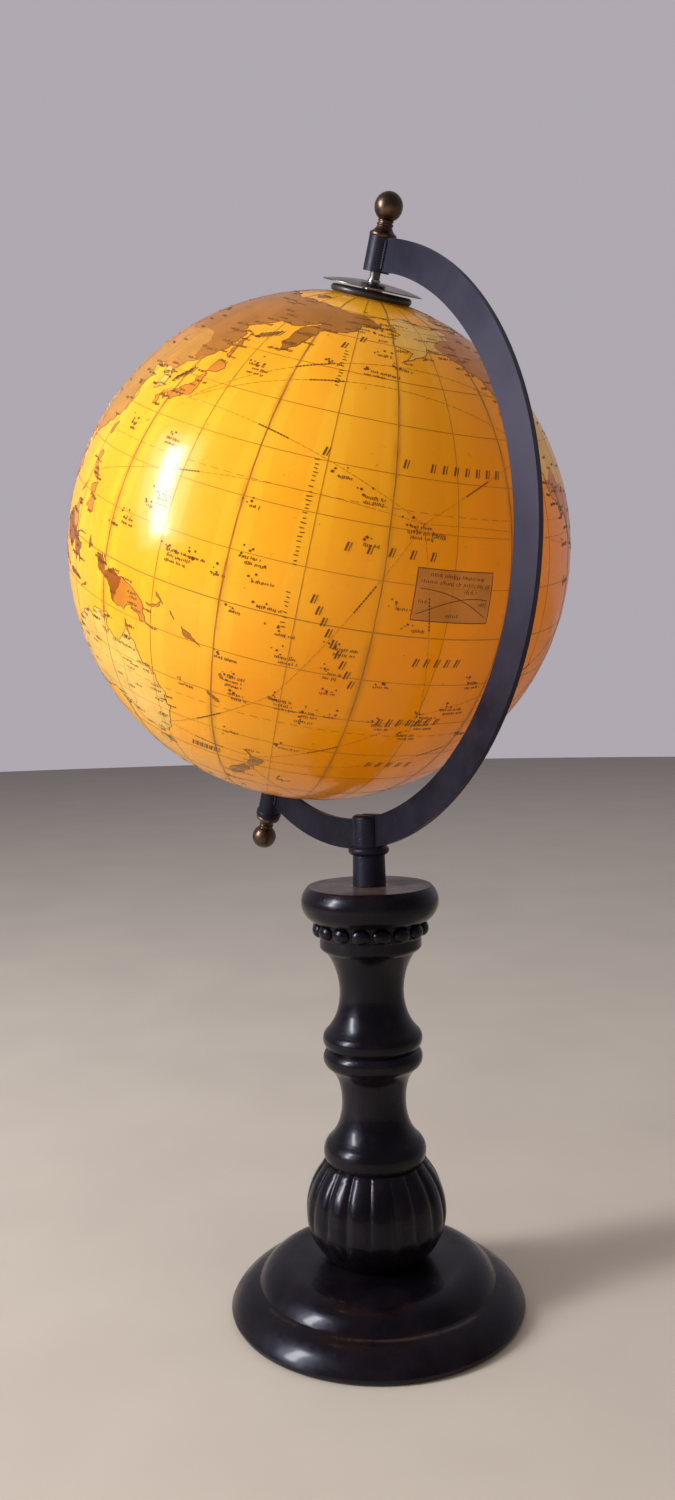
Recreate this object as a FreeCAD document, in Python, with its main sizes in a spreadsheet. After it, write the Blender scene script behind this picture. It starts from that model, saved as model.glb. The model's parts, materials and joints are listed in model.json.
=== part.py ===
import FreeCAD, Part
import math
import os
import Sketcher

# A twelve inch table globe: a ball that spins on a tilted axle, held by a half ring of flat bar
# whose stem stands in a turned wooden column.  Lengths are millimetres and angles degrees.
#
# Part frame: the origin is the middle of the face the stand rests on, +Z is up, and the half ring
# lies in the XZ plane with its bow on the +X side.
# Polar frame: the origin is the centre of the ball, Z points to the north pole and X towards the
# bow of the half ring.  Everything threaded on the axle is drawn in it and then tilted over.

SIZES = {
    # The ball and where it hangs
    "ball_radius": 152.4,
    "ball_wall": 2.5,
    "ball_height": 455.0,
    "ball_overhang": 46.4,
    "polar_tilt": 23.5,
    "pole_hole": 6.0,
    "seam_ring_wall": 2.0,
    "seam_ring_height": 20.0,
    # Axle and the pieces threaded on it, measured along the axle from the ball centre
    "axle_radius": 3.0,
    "running_gap": 0.05,
    "free_gap": 0.3,
    "axle_reach": 189.5,
    "sleeve_radius": 7.5,
    "sleeve_end": 183.5,
    "sleeve_collar_radius": 8.3,
    "sleeve_collar_height": 4.5,
    "sleeve_collar_edge": 1.0,
    "sleeve_collar_curve": 1.5,
    "bush_length": 11.0,
    "bush_top": 152.2,
    "bush_flange_radius": 12.0,
    "bush_flange_top": 149.2,
    "bush_flange_height": 2.0,
    "pole_cap_radius": 23.8,
    "pole_cap_top": 154.9,
    "pole_cap_edge": 2.05,
    "dial_radius": 28.8,
    "dial_rim": 156.0,
    "dial_sheet": 0.7,
    "dial_rise": 3.2,
    "dial_crown": 120.0,
    "dial_hub_radius": 3.7,
    "dial_hub_top": 160.8,
    "dial_boss_radius": 6.0,
    "thrust_washer_height": 0.9,
    "thrust_washer_radius": 5.0,
    "finial_ball": 8.0,
    "finial_centre": 199.3,
    "finial_neck": 4.0,
    "finial_flange": 7.5,
    "finial_flange_height": 2.0,
    "finial_cove": 6.0,
    "finial_neck_length": 2.0,
    # Half ring of flat bar, its circle set off from the ball centre
    "bow_radius": 160.5,
    "bow_width": 18.0,
    "bow_thickness": 3.0,
    "bow_shift_out": 19.0,
    "bow_shift_north": 5.5,
    # Stem, measured up from the top of the column
    "peg_radius": 8.0,
    "peg_length": 25.0,
    "stem_foot_radius": 9.9,
    "stem_radius": 9.5,
    "stem_bead_low": 18.5,
    "stem_bead_high": 23.5,
    "stem_top": 42.0,
    "stem_edge": 2.0,
    "stem_edge_curve": 2.4,
    "stem_bead_root": 10.2,
    "stem_bead_curve": 2.6,
    # Turned column, bottom to top
    "base_height": 31.5,
    "base_radius": 88.0,
    "base_sole_radius": 86.5,
    "base_sole_curve": 5.0,
    "base_widest": 4.0,
    "base_step_radius": 73.0,
    "base_step_height": 17.4,
    "base_moulding_curve": 24.0,
    "base_roll_radius": 70.8,
    "base_roll_low": 18.2,
    "base_roll_high": 29.5,
    "base_roll_curve": 19.5,
    "base_crown_radius": 53.0,
    "base_crown_curve": 140.0,
    "felt_radius": 74.0,
    "felt_height": 2.0,
    "felt_proud": 0.5,
    "bulb_radius": 42.1,
    "bulb_foot_radius": 28.5,
    "bulb_neck_radius": 29.0,
    "bulb_shoulder_radius": 32.2,
    "bulb_below": 26.7,
    "bulb_above": 30.8,
    "bulb_shoulder": 27.6,
    "bulb_lower_curve": 34.0,
    "bulb_upper_curve": 43.4,
    "bulb_shoulder_curve": 5.0,
    "lobe_count": 18,
    "lobe_cut_radius": 2.2,
    "lobe_cut_depth": 1.7,
    "lobe_sweep_radius": 38.0,
    "lobe_sweep_angle": 96.0,
    "lower_height": 68.0,
    "upper_height": 58.0,
    "joint_radius": 26.8,
    "ring_shoulder": 27.4,
    "ring_height": 10.8,
    "ring_curve": 6.9,
    "flare_height": 14.0,
    "flare_curve": 10.6,
    "waist_radius": 19.2,
    "waist_lip": 1.8,
    "waist_curve": 42.0,
    "lower_waist_level": 36.0,
    "upper_waist_level": 34.0,
    "collar_height": 19.0,
    "collar_radius": 30.3,
    "collar_neck": 31.4,
    "collar_chamfer": 3.0,
    "collar_chamfer_curve": 6.0,
    "collar_band_top": 8.6,
    "collar_step": 1.5,
    "collar_step_curve": 3.0,
    "bead_count": 16,
    "bead_seat_radius": 31.2,
    "bead_depth": 3.7,
    "bead_half_width": 5.7,
    "bead_half_height": 4.6,
    "bead_level": 14.0,
    "cap_height": 20.0,
    "cap_top_radius": 36.8,
    "cap_bottom_radius": 35.0,
    "cap_roll": 12.6,
    # Metalwork hidden inside the column
    "rod_radius": 4.0,
    "rod_hole": 4.3,
    "nut_across_corners": 15.0,
    "nut_height": 6.5,
    "washer_radius": 10.0,
    "washer_height": 1.6,
    "nut_pocket_radius": 14.0,
    "nut_pocket_top": 14.0,
    "socket_radius": 11.0,
    "socket_spare": 3.0,
    "bush_below_cap": 6.0,
    "rod_spare": 1.0,
}

document = FreeCAD.newDocument("globe")
sheet = document.addObject("Spreadsheet::Sheet", "Sizes")
for row, (name, value) in enumerate(SIZES.items(), start=1):
    sheet.set("A%d" % row, name)
    sheet.set("B%d" % row, str(value))
    sheet.setAlias("B%d" % row, name)
document.recompute()


class Size:
    """A number together with the spreadsheet formula that gives it."""

    def __init__(self, value, formula):
        self.value = float(value)
        self.formula = formula

    def __add__(self, other):
        other = as_size(other)
        return Size(self.value + other.value, "(%s + %s)" % (self.formula, other.formula))

    def __sub__(self, other):
        other = as_size(other)
        return Size(self.value - other.value, "(%s - %s)" % (self.formula, other.formula))

    def __mul__(self, other):
        other = as_size(other)
        return Size(self.value * other.value, "(%s * %s)" % (self.formula, other.formula))

    def __truediv__(self, other):
        other = as_size(other)
        return Size(self.value / other.value, "(%s / %s)" % (self.formula, other.formula))

    def __neg__(self):
        return Size(-self.value, "(0 - %s)" % self.formula)

    def __rsub__(self, other):
        return as_size(other) - self

    __radd__ = __add__
    __rmul__ = __mul__


def as_size(number):
    """Wrap a plain number so that it can be mixed with sheet sizes."""
    if isinstance(number, Size):
        return number
    return Size(number, "%.6g" % number)


def size(name):
    """Look up one driving dimension by its name in the sheet."""
    return Size(SIZES[name], "Sizes." + name)


def other_leg(hypotenuse, leg):
    """Third side of a right triangle: the height at which a circle is a given distance off axis."""
    value = math.sqrt(hypotenuse.value ** 2 - leg.value ** 2)
    return Size(value, "sqrt(%s ^ 2 - %s ^ 2)" % (hypotenuse.formula, leg.formula))


ZERO = Size(0.0, "0")
BALL = size("ball_radius")
BALL_INSIDE = BALL - size("ball_wall")
AXLE = size("axle_radius")
AXLE_BORE = AXLE + size("running_gap")
COLUMN_TOP = (size("base_height") + size("bulb_below") + size("bulb_above") + size("lower_height")
              + size("upper_height") + size("collar_height") + size("cap_height"))
nodes = []


# ---------------------------------------------------------------- sketching helpers

def origin_item(body, role):
    """One of a body's own origin planes or axes, found by its role."""
    for item in body.Origin.OriginFeatures:
        if item.Role == role:
            return item
    raise ValueError("no origin item called " + role)


def new_body(label):
    """An empty body that is exported under its label."""
    body = document.addObject("PartDesign::Body", label)
    body.Label = label
    body.AllowCompound = True
    nodes.append(body)
    return body


def new_sketch(body, name, role):
    """A sketch lying on one of the body's origin planes."""
    sketch = body.newObject("Sketcher::SketchObject", name)
    sketch.AttachmentSupport = (origin_item(body, role), [""])
    sketch.MapMode = "FlatFace"
    return sketch


def pin_coordinate(sketch, axis, geometry, end, distance):
    """Hold one coordinate of a point at a formula, or on the sketch axis when it is zero."""
    if abs(distance.value) < 1e-9:
        own_axis = -2 if axis == "X" else -1
        sketch.addConstraint(Sketcher.Constraint("PointOnObject", geometry, end, own_axis))
        return
    kind = "Distance" + axis
    index = sketch.addConstraint(Sketcher.Constraint(kind, -1, 1, geometry, end, distance.value))
    sketch.setExpression("Constraints[%d]" % index, distance.formula)


def arc_between(start, end, radius):
    """Arc shorter than a half turn; a positive radius swells to the right of the way travelled."""
    chord = end - start
    middle = (start + end) * 0.5
    left = FreeCAD.Vector(-chord.y, chord.x, 0).normalize()
    rise = math.sqrt(max(radius ** 2 - (chord.Length / 2) ** 2, 0.0))
    centre = middle + left * math.copysign(rise, radius)
    circle = Part.Circle(centre, FreeCAD.Vector(0, 0, 1), abs(radius))
    first, last = (start, end) if radius > 0 else (end, start)
    first_angle = math.atan2(first.y - centre.y, first.x - centre.x)
    last_angle = math.atan2(last.y - centre.y, last.x - centre.x)
    return Part.ArcOfCircle(circle, first_angle, last_angle)


def draw_loop(sketch, corners):
    """Closed outline travelled anticlockwise.

    Each corner is (across, up) or (across, up, radius), where the radius belongs to the arc that
    arrives at the corner: positive for a swelling one, negative for a hollow one.
    """
    points = [FreeCAD.Vector(as_size(c[0]).value, as_size(c[1]).value, 0) for c in corners]
    starts = []
    ends = []
    for index in range(len(corners)):
        target = (index + 1) % len(corners)
        arriving = corners[target]
        if len(arriving) == 3:
            radius = as_size(arriving[2])
            arc = arc_between(points[index], points[target], radius.value)
            geometry = sketch.addGeometry(arc, False)
            turn = Sketcher.Constraint("Radius", geometry, abs(radius.value))
            bound = sketch.addConstraint(turn)
            magnitude = radius if radius.value > 0 else -radius
            sketch.setExpression("Constraints[%d]" % bound, magnitude.formula)
            forwards = radius.value > 0
        else:
            geometry = sketch.addGeometry(Part.LineSegment(points[index], points[target]), False)
            forwards = True
        starts.append((geometry, 1 if forwards else 2))
        ends.append((geometry, 2 if forwards else 1))
    for index, corner in enumerate(corners):
        geometry, end = starts[index]
        before, before_end = ends[index - 1]
        sketch.addConstraint(Sketcher.Constraint("Coincident", before, before_end, geometry, end))
        pin_coordinate(sketch, "X", geometry, end, as_size(corner[0]))
        pin_coordinate(sketch, "Y", geometry, end, as_size(corner[1]))


def draw_circle(sketch, across, radius):
    """Circle centred on the sketch's horizontal axis."""
    across = as_size(across)
    centre = FreeCAD.Vector(across.value, 0, 0)
    geometry = sketch.addGeometry(Part.Circle(centre, FreeCAD.Vector(0, 0, 1), radius.value), False)
    pin_coordinate(sketch, "X", geometry, 3, across)
    pin_coordinate(sketch, "Y", geometry, 3, ZERO)
    index = sketch.addConstraint(Sketcher.Constraint("Radius", geometry, radius.value))
    sketch.setExpression("Constraints[%d]" % index, radius.formula)


def turned(label, corners):
    """A body turned on the lathe: an outline of (radius, height) corners spun about Z."""
    body = new_body(label)
    sketch = new_sketch(body, label + "_outline", "XZ_Plane")
    draw_loop(sketch, corners)
    spin = body.newObject("PartDesign::Revolution", label + "_turning")
    spin.Profile = sketch
    spin.ReferenceAxis = (sketch, ["V_Axis"])
    spin.Angle = 360.0
    sketch.Visibility = False
    body.Tip = spin
    return body


def polar_copies(body, feature, count):
    """Repeat a feature round the body's Z axis, the count held by the sheet."""
    body.Tip = feature
    pattern = body.newObject("PartDesign::PolarPattern", body.Label + "_copies")
    pattern.Originals = [feature]
    pattern.Axis = (origin_item(body, "Z_Axis"), [""])
    pattern.Angle = 360.0
    pattern.Occurrences = int(SIZES[count])
    pattern.setExpression("Occurrences", "Sizes." + count)
    body.Tip = pattern
    return pattern


def both_ends(body):
    """Mirror a body's last feature across its own XY plane, for pieces fitted at both poles."""
    feature = body.Tip
    mirror = body.newObject("PartDesign::Mirrored", body.Label + "_mirror")
    mirror.Originals = [feature]
    mirror.MirrorPlane = (origin_item(body, "XY_Plane"), [""])
    body.Tip = mirror


def raise_by(item, height):
    """Stand a piece on the column axis at a height given by a formula."""
    item.Placement = FreeCAD.Placement(FreeCAD.Vector(0, 0, height.value), FreeCAD.Rotation())
    item.setExpression("Placement.Base.z", height.formula)


def put_on_axle(item, along=ZERO):
    """Carry a piece drawn in the polar frame to the ball, moved along the axle if asked."""
    tilt = math.radians(SIZES["polar_tilt"])
    sine = Size(math.sin(tilt), "sin(Sizes.polar_tilt * 1 deg)")
    cosine = Size(math.cos(tilt), "cos(Sizes.polar_tilt * 1 deg)")
    across = -size("ball_overhang") + along * sine
    height = size("ball_height") + along * cosine
    turn = FreeCAD.Rotation(FreeCAD.Vector(0, 1, 0), SIZES["polar_tilt"])
    item.Placement = FreeCAD.Placement(FreeCAD.Vector(across.value, 0, height.value), turn)
    item.setExpression("Placement.Base.x", across.formula)
    item.setExpression("Placement.Base.z", height.formula)
    item.setExpression("Placement.Rotation.Angle", "Sizes.polar_tilt * 1 deg")


def solid(kind, name, **sizes):
    """A plain primitive with every given size bound to its formula."""
    item = document.addObject("Part::" + kind, name)
    for prop, amount in sizes.items():
        setattr(item, prop, amount.value)
        item.setExpression(prop, amount.formula)
    return item


def drilled_pair(label, kind, low, high, bore, **sizes):
    """Two like fasteners on the tie rod, one near each end, with the rod's hole through both."""
    blanks = []
    for end, level in (("low", low), ("high", high)):
        blank = solid(kind, label + "_" + end, **sizes)
        raise_by(blank, level)
        blanks.append(blank)
    pair = document.addObject("Part::MultiFuse", label + "_blanks")
    pair.Shapes = blanks
    drill = solid("Cylinder", label + "_hole", Radius=bore, Height=COLUMN_TOP)
    result = document.addObject("Part::Cut", label)
    result.Base = pair
    result.Tool = drill
    result.Label = label
    nodes.append(result)


# ---------------------------------------------------------------- turned column

def build_base():
    """Foot disc: a quarter-round moulding, a rolled step and a shallow cove, hollowed for the felt."""
    sole = size("felt_proud")
    recess = size("felt_height")
    pocket = size("nut_pocket_radius")
    top = size("base_height")
    turned("base_disc", [
        (size("felt_radius") + size("free_gap"), sole),
        (size("base_sole_radius"), sole),
        (size("base_radius"), size("base_widest"), size("base_sole_curve")),
        (size("base_step_radius"), size("base_step_height"), size("base_moulding_curve")),
        (size("base_roll_radius"), size("base_roll_low")),
        (size("base_crown_radius"), size("base_roll_high"), size("base_roll_curve")),
        (size("bulb_foot_radius"), top, -size("base_crown_curve")),
        (size("rod_hole"), top),
        (size("rod_hole"), size("nut_pocket_top")),
        (pocket, size("nut_pocket_top")),
        (pocket, recess),
        (size("felt_radius") + size("free_gap"), recess),
    ])
    felt = solid("Cylinder", "base_felt", Radius=size("felt_radius"), Height=recess)
    felt.Label = "base_felt"
    nodes.append(felt)


def build_bulb():
    """Carved bulb, drawn with its widest point at height zero, fluted from neck to foot."""
    body = turned("fluted_bulb", [
        (size("rod_hole"), -size("bulb_below")),
        (size("bulb_foot_radius"), -size("bulb_below")),
        (size("bulb_radius"), ZERO, size("bulb_lower_curve")),
        (size("bulb_shoulder_radius"), size("bulb_shoulder"), size("bulb_upper_curve")),
        (size("bulb_neck_radius"), size("bulb_above"), size("bulb_shoulder_curve")),
        (size("rod_hole"), size("bulb_above")),
    ])
    sweep = size("lobe_sweep_radius")
    lift = size("lobe_cut_radius") - size("lobe_cut_depth")
    pivot = size("bulb_radius") + lift - sweep
    sketch = new_sketch(body, "lobe_cutter", "XY_Plane")
    draw_circle(sketch, size("bulb_radius") + lift, size("lobe_cut_radius"))
    reach = size("lobe_cut_radius").value
    line = Part.LineSegment(FreeCAD.Vector(pivot.value, -reach, 0), FreeCAD.Vector(pivot.value, reach, 0))
    hinge = sketch.addGeometry(line, True)
    sketch.addConstraint(Sketcher.Constraint("Vertical", hinge))
    pin_coordinate(sketch, "X", hinge, 1, pivot)
    groove = body.newObject("PartDesign::Groove", "lobe_cut")
    groove.Profile = sketch
    groove.ReferenceAxis = (sketch, ["Axis0"])
    groove.Midplane = True
    groove.setExpression("Angle", "Sizes.lobe_sweep_angle")
    sketch.Visibility = False
    polar_copies(body, groove, "lobe_count")
    raise_by(body, size("base_height") + size("bulb_below"))


def smooth_cove(lip, sine, cosine, end):
    """Radius of the hollow arc that leaves the end of the waist curve without a kink."""
    out = end[0] - lip[0]
    along = end[1] - lip[1]
    if along.value < 0:
        along = -along
    return (out * out + along * along) / ((out * cosine - along * sine) * 2)


def waisted_outline(waist_level, low, high):
    """Outside of a spindle from its foot to its head, hollowed to the waist between two shoulders."""
    waist = size("waist_radius")
    curve = size("waist_curve")
    lip = waist + size("waist_lip")
    half = other_leg(curve, curve - size("waist_lip"))
    sine = half / curve
    cosine = (curve - size("waist_lip")) / curve
    low_lip = (lip, waist_level - half)
    high_lip = (lip, waist_level + half)
    return [
        (lip, low_lip[1], -smooth_cove(low_lip, sine, cosine, low)),
        (waist, waist_level, -curve),
        (lip, high_lip[1], -curve),
        (high[0], high[1], -smooth_cove(high_lip, sine, cosine, high)),
    ]


def build_spindles():
    """Two waisted lengths that meet in the groove between a pair of rings."""
    hole = size("rod_hole")
    joint = size("joint_radius")
    ring = size("ring_height")
    shoulder = size("ring_shoulder")
    lower = size("lower_height")
    upper = size("upper_height")
    flare = size("flare_height")
    foot = size("base_height") + size("bulb_below") + size("bulb_above")
    body = turned("lower_spindle", [
        (hole, ZERO),
        (size("bulb_neck_radius"), ZERO),
        (joint, flare, size("flare_curve")),
    ] + waisted_outline(size("lower_waist_level"), (joint, flare), (shoulder, lower - ring)) + [
        (joint, lower, size("ring_curve")),
        (hole, lower),
    ])
    raise_by(body, foot)
    body = turned("upper_spindle", [
        (hole, ZERO),
        (joint, ZERO),
        (shoulder, ring, size("ring_curve")),
    ] + waisted_outline(size("upper_waist_level"), (shoulder, ring), (joint, upper)) + [
        (hole, upper),
    ])
    raise_by(body, foot + lower)


def build_collar():
    """Collar under the cap with a row of carved oval beads standing out of it."""
    floor = size("collar_height") + size("cap_height") - size("peg_length") - size("washer_height")
    floor = floor - size("nut_height") - size("socket_spare")
    edge = size("collar_chamfer")
    body = turned("beaded_collar", [
        (size("rod_hole"), ZERO),
        (size("joint_radius"), ZERO),
        (size("collar_radius"), edge, size("collar_chamfer_curve")),
        (size("collar_radius"), size("collar_band_top")),
        (size("collar_neck"), size("collar_band_top") + size("collar_step"), -size("collar_step_curve")),
        (size("collar_neck"), size("collar_height")),
        (size("socket_radius"), size("collar_height")),
        (size("socket_radius"), floor),
        (size("rod_hole"), floor),
    ])
    document.recompute()
    bead = body.newObject("PartDesign::AdditiveEllipsoid", "oval_bead")
    bead.Angle1 = -90
    bead.Angle2 = 90
    bead.Angle3 = 360
    bead.setExpression("Radius1", "Sizes.bead_half_height")
    bead.setExpression("Radius2", "Sizes.bead_depth")
    bead.setExpression("Radius3", "Sizes.bead_half_width")
    seat = FreeCAD.Vector(SIZES["bead_seat_radius"], 0, SIZES["bead_level"])
    bead.Placement = FreeCAD.Placement(seat, FreeCAD.Rotation())
    bead.setExpression("Placement.Base.x", "Sizes.bead_seat_radius")
    bead.setExpression("Placement.Base.z", "Sizes.bead_level")
    polar_copies(body, bead, "bead_count")
    raise_by(body, COLUMN_TOP - size("cap_height") - size("collar_height"))
    return floor


def build_cap():
    """Thick disc with a rolled edge and a flat top, bored through for the stem's bush."""
    body = turned("cap_disc", [
        (size("socket_radius"), ZERO),
        (size("cap_bottom_radius"), ZERO),
        (size("cap_top_radius"), size("cap_height"), size("cap_roll")),
        (size("socket_radius"), size("cap_height")),
    ])
    raise_by(body, COLUMN_TOP - size("cap_height"))
    body = turned("stem_bush", [
        (size("peg_radius") + size("running_gap"), -size("cap_height") - size("bush_below_cap")),
        (size("socket_radius"), -size("cap_height") - size("bush_below_cap")),
        (size("socket_radius"), ZERO),
        (size("peg_radius") + size("running_gap"), ZERO),
    ])
    raise_by(body, COLUMN_TOP)


def build_tie_rod(collar_floor):
    """Threaded rod that clamps the column, with a washer and a nut at each end of it."""
    washer = size("washer_height")
    nut = size("nut_height")
    low_washer = size("nut_pocket_top") - washer
    high_washer = COLUMN_TOP - size("cap_height") - size("collar_height") + collar_floor
    low_nut = low_washer - nut
    high_nut = high_washer + washer
    rod = solid("Cylinder", "tie_rod", Radius=size("rod_radius"),
                Height=high_nut + nut - low_nut + size("rod_spare") * 2)
    rod.Label = "tie_rod"
    raise_by(rod, low_nut - size("rod_spare"))
    nodes.append(rod)
    drilled_pair("tie_rod_washers", "Cylinder", low_washer, high_washer, size("rod_radius"),
                 Radius=size("washer_radius"), Height=washer)
    drilled_pair("tie_rod_nuts", "Prism", low_nut, high_nut, size("rod_radius"),
                 Circumradius=size("nut_across_corners") / 2, Height=nut)


# ---------------------------------------------------------------- half ring and stem

def build_stem():
    """Turned post with a bead round it and a slot down its head for the flat bar."""
    low = size("stem_bead_low")
    high = size("stem_bead_high")
    post = size("stem_radius")
    top = size("stem_top")
    edge = size("stem_edge")
    root = size("stem_bead_root")
    body = turned("stem_post", [
        (ZERO, -size("peg_length")),
        (size("peg_radius"), -size("peg_length")),
        (size("peg_radius"), size("free_gap")),
        (size("stem_foot_radius"), size("free_gap")),
        (post, low),
        (root, low),
        (root, high, size("stem_bead_curve")),
        (post, high),
        (post, top - edge),
        (post - edge, top, size("stem_edge_curve")),
        (ZERO, top),
    ])
    sketch = new_sketch(body, "slot_outline", "XZ_Plane")
    reach = size("bow_radius") + size("bow_width")
    tilt = "Sizes.polar_tilt * 1 deg"
    angle = math.radians(SIZES["polar_tilt"])
    sine = Size(math.sin(angle), "sin(%s)" % tilt)
    cosine = Size(math.cos(angle), "cos(%s)" % tilt)
    out = size("bow_shift_out")
    north = size("bow_shift_north")
    across = out * cosine + north * sine - size("ball_overhang")
    height = size("ball_height") - out * sine + north * cosine - COLUMN_TOP
    centre = FreeCAD.Vector(across.value, height.value, 0)
    geometry = sketch.addGeometry(Part.Circle(centre, FreeCAD.Vector(0, 0, 1), reach.value), False)
    pin_coordinate(sketch, "X", geometry, 3, across)
    pin_coordinate(sketch, "Y", geometry, 3, height)
    index = sketch.addConstraint(Sketcher.Constraint("Radius", geometry, reach.value))
    sketch.setExpression("Constraints[%d]" % index, reach.formula)
    slot = body.newObject("PartDesign::Pocket", "bar_slot")
    slot.Profile = sketch
    slot.Midplane = True
    slot.setExpression("Length", "Sizes.bow_thickness")
    sketch.Visibility = False
    raise_by(body, COLUMN_TOP)


def build_bow():
    """Half ring of flat bar, its ends hollowed to sit against the two sleeves."""
    out = size("bow_shift_out")
    north = size("bow_shift_north")
    inner = size("bow_radius")
    outer = inner + size("bow_width")
    body = new_body("meridian_arc")
    sketch = new_sketch(body, "bar_outline", "XZ_Plane")
    draw_loop(sketch, [
        (ZERO, north - other_leg(inner, out), -inner),
        (ZERO, north - other_leg(outer, out)),
        (out + outer, north, outer),
        (ZERO, north + other_leg(outer, out), outer),
        (ZERO, north + other_leg(inner, out)),
        (out + inner, north, -inner),
    ])
    pad = body.newObject("PartDesign::Pad", "bar")
    pad.Profile = sketch
    pad.Midplane = True
    pad.setExpression("Length", "Sizes.bow_thickness")
    sketch.Visibility = False
    body.Tip = pad
    cope = new_sketch(body, "sleeve_outline", "XY_Plane")
    draw_circle(cope, ZERO, size("sleeve_radius"))
    cut = body.newObject("PartDesign::Pocket", "sleeve_hollows")
    cut.Profile = cope
    cut.Midplane = True
    cut.setExpression("Length", ((outer + out) * 2).formula)
    cope.Visibility = False
    put_on_axle(body)
    return north + other_leg(inner, out), other_leg(inner, out) - north


def build_sleeves(north_gap, south_gap):
    """Short tubes on the ends of the half ring that hold the axle."""
    end = size("sleeve_end")
    tube = size("sleeve_radius")
    put_on_axle(turned("north_sleeve", [
        (AXLE, north_gap),
        (tube, north_gap),
        (tube, end),
        (AXLE, end),
    ]))
    collar = size("sleeve_collar_radius")
    edge = size("sleeve_collar_edge")
    curve = size("sleeve_collar_curve")
    collar_start = size("sleeve_collar_height") - end
    put_on_axle(turned("south_sleeve", [
        (AXLE, -end),
        (collar - edge, -end),
        (collar, edge - end, curve),
        (collar, collar_start - edge),
        (tube, collar_start, curve),
        (tube, -south_gap),
        (AXLE, -south_gap),
    ]))
    washer = size("thrust_washer_height")
    put_on_axle(turned("thrust_washer", [
        (AXLE, -south_gap),
        (size("thrust_washer_radius"), -south_gap),
        (size("thrust_washer_radius"), washer - south_gap),
        (AXLE, washer - south_gap),
    ]))


def build_axle():
    """Steel rod from one finial to the other, and the pair of ball nuts on its ends."""
    rod = solid("Cylinder", "axle_rod", Radius=AXLE, Height=size("axle_reach") * 2)
    rod.Label = "axle_rod"
    put_on_axle(rod, -size("axle_reach"))
    nodes.append(rod)
    seat = size("sleeve_end")
    ball = size("finial_ball")
    centre = size("finial_centre")
    neck = size("finial_neck")
    flange = size("finial_flange")
    lip = size("finial_flange_height")
    ball_start = centre - other_leg(ball, neck)
    body = turned("axle_finials", [
        (AXLE, seat),
        (flange, seat),
        (flange, seat + lip, lip),
        (neck, ball_start - size("finial_neck_length"), -size("finial_cove")),
        (neck, ball_start),
        (ZERO, centre + ball, ball),
        (ZERO, size("axle_reach")),
        (AXLE, size("axle_reach")),
    ])
    both_ends(body)
    put_on_axle(body)


# ---------------------------------------------------------------- ball and dial

def build_ball():
    """Two shells glued over a ring at the equator, with a bush let into each pole."""
    hole = size("pole_hole")
    put_on_axle(turned("north_hemisphere", [
        (BALL_INSIDE, ZERO, -BALL_INSIDE),
        (BALL, ZERO),
        (hole, other_leg(BALL, hole), BALL),
        (hole, other_leg(BALL_INSIDE, hole)),
    ]))
    put_on_axle(turned("south_hemisphere", [
        (hole, -other_leg(BALL, hole)),
        (BALL, ZERO, BALL),
        (BALL_INSIDE, ZERO),
        (hole, -other_leg(BALL_INSIDE, hole), -BALL_INSIDE),
    ]))
    half = size("seam_ring_height") / 2
    rim = other_leg(BALL_INSIDE, half)
    inside = rim - size("seam_ring_wall")
    put_on_axle(turned("seam_ring", [
        (inside, -half),
        (rim, -half),
        (rim, half, BALL_INSIDE),
        (inside, half),
    ]))
    top = size("bush_top")
    flange_top = size("bush_flange_top")
    flange_low = flange_top - size("bush_flange_height")
    bushes = turned("pole_bushes", [
        (AXLE_BORE, top - size("bush_length")),
        (hole, top - size("bush_length")),
        (hole, flange_low),
        (size("bush_flange_radius"), flange_low),
        (size("bush_flange_radius"), flange_top),
        (hole, flange_top),
        (hole, top),
        (AXLE_BORE, top),
    ])
    both_ends(bushes)
    put_on_axle(bushes)


def build_pole_cap():
    """Round-edged disc seated on the ball round the north end of the axle."""
    rim = size("pole_cap_radius")
    bore = AXLE + size("free_gap")
    edge = size("pole_cap_edge")
    top = size("pole_cap_top")
    put_on_axle(turned("north_pole_cap", [
        (bore, other_leg(BALL, bore)),
        (rim - edge, other_leg(BALL, rim - edge), -BALL),
        (rim - edge, top, edge),
        (bore, top),
    ]))


def build_dial():
    """Thin domed disc, loose on the axle above the pole cap, with a hub that lets it turn."""
    rim = size("dial_radius")
    low = size("dial_rim")
    sheet_metal = size("dial_sheet")
    hub = size("dial_hub_radius")
    boss = size("dial_boss_radius")
    crown = size("dial_crown")
    rise = size("dial_rise")
    put_on_axle(turned("hour_dial", [
        (AXLE_BORE, size("pole_cap_top") + size("free_gap")),
        (boss, size("pole_cap_top") + size("free_gap")),
        (boss, low + rise - sheet_metal / 2),
        (rim - sheet_metal / 2, low, -crown),
        (rim, low + sheet_metal / 2, sheet_metal / 2),
        (rim - sheet_metal / 2, low + sheet_metal, sheet_metal / 2),
        (hub, low + rise + sheet_metal, crown),
        (hub, size("dial_hub_top")),
        (AXLE_BORE, size("dial_hub_top")),
    ]))


# ---------------------------------------------------------------- build, test and write

build_base()
build_bulb()
build_spindles()
socket_floor = build_collar()
build_cap()
build_tie_rod(socket_floor)
build_stem()
north_gap, south_gap = build_bow()
build_sleeves(north_gap, south_gap)
build_axle()
build_ball()
build_pole_cap()
build_dial()
document.recompute()

for item in document.Objects:
    if "Invalid" in item.State or "Error" in item.State:
        raise RuntimeError("%s did not build: %s" % (item.Label, item.State))
for node in nodes:
    if node.Shape.isNull() or not node.Shape.isValid():
        raise RuntimeError("%s has no sound shape" % node.Label)

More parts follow.
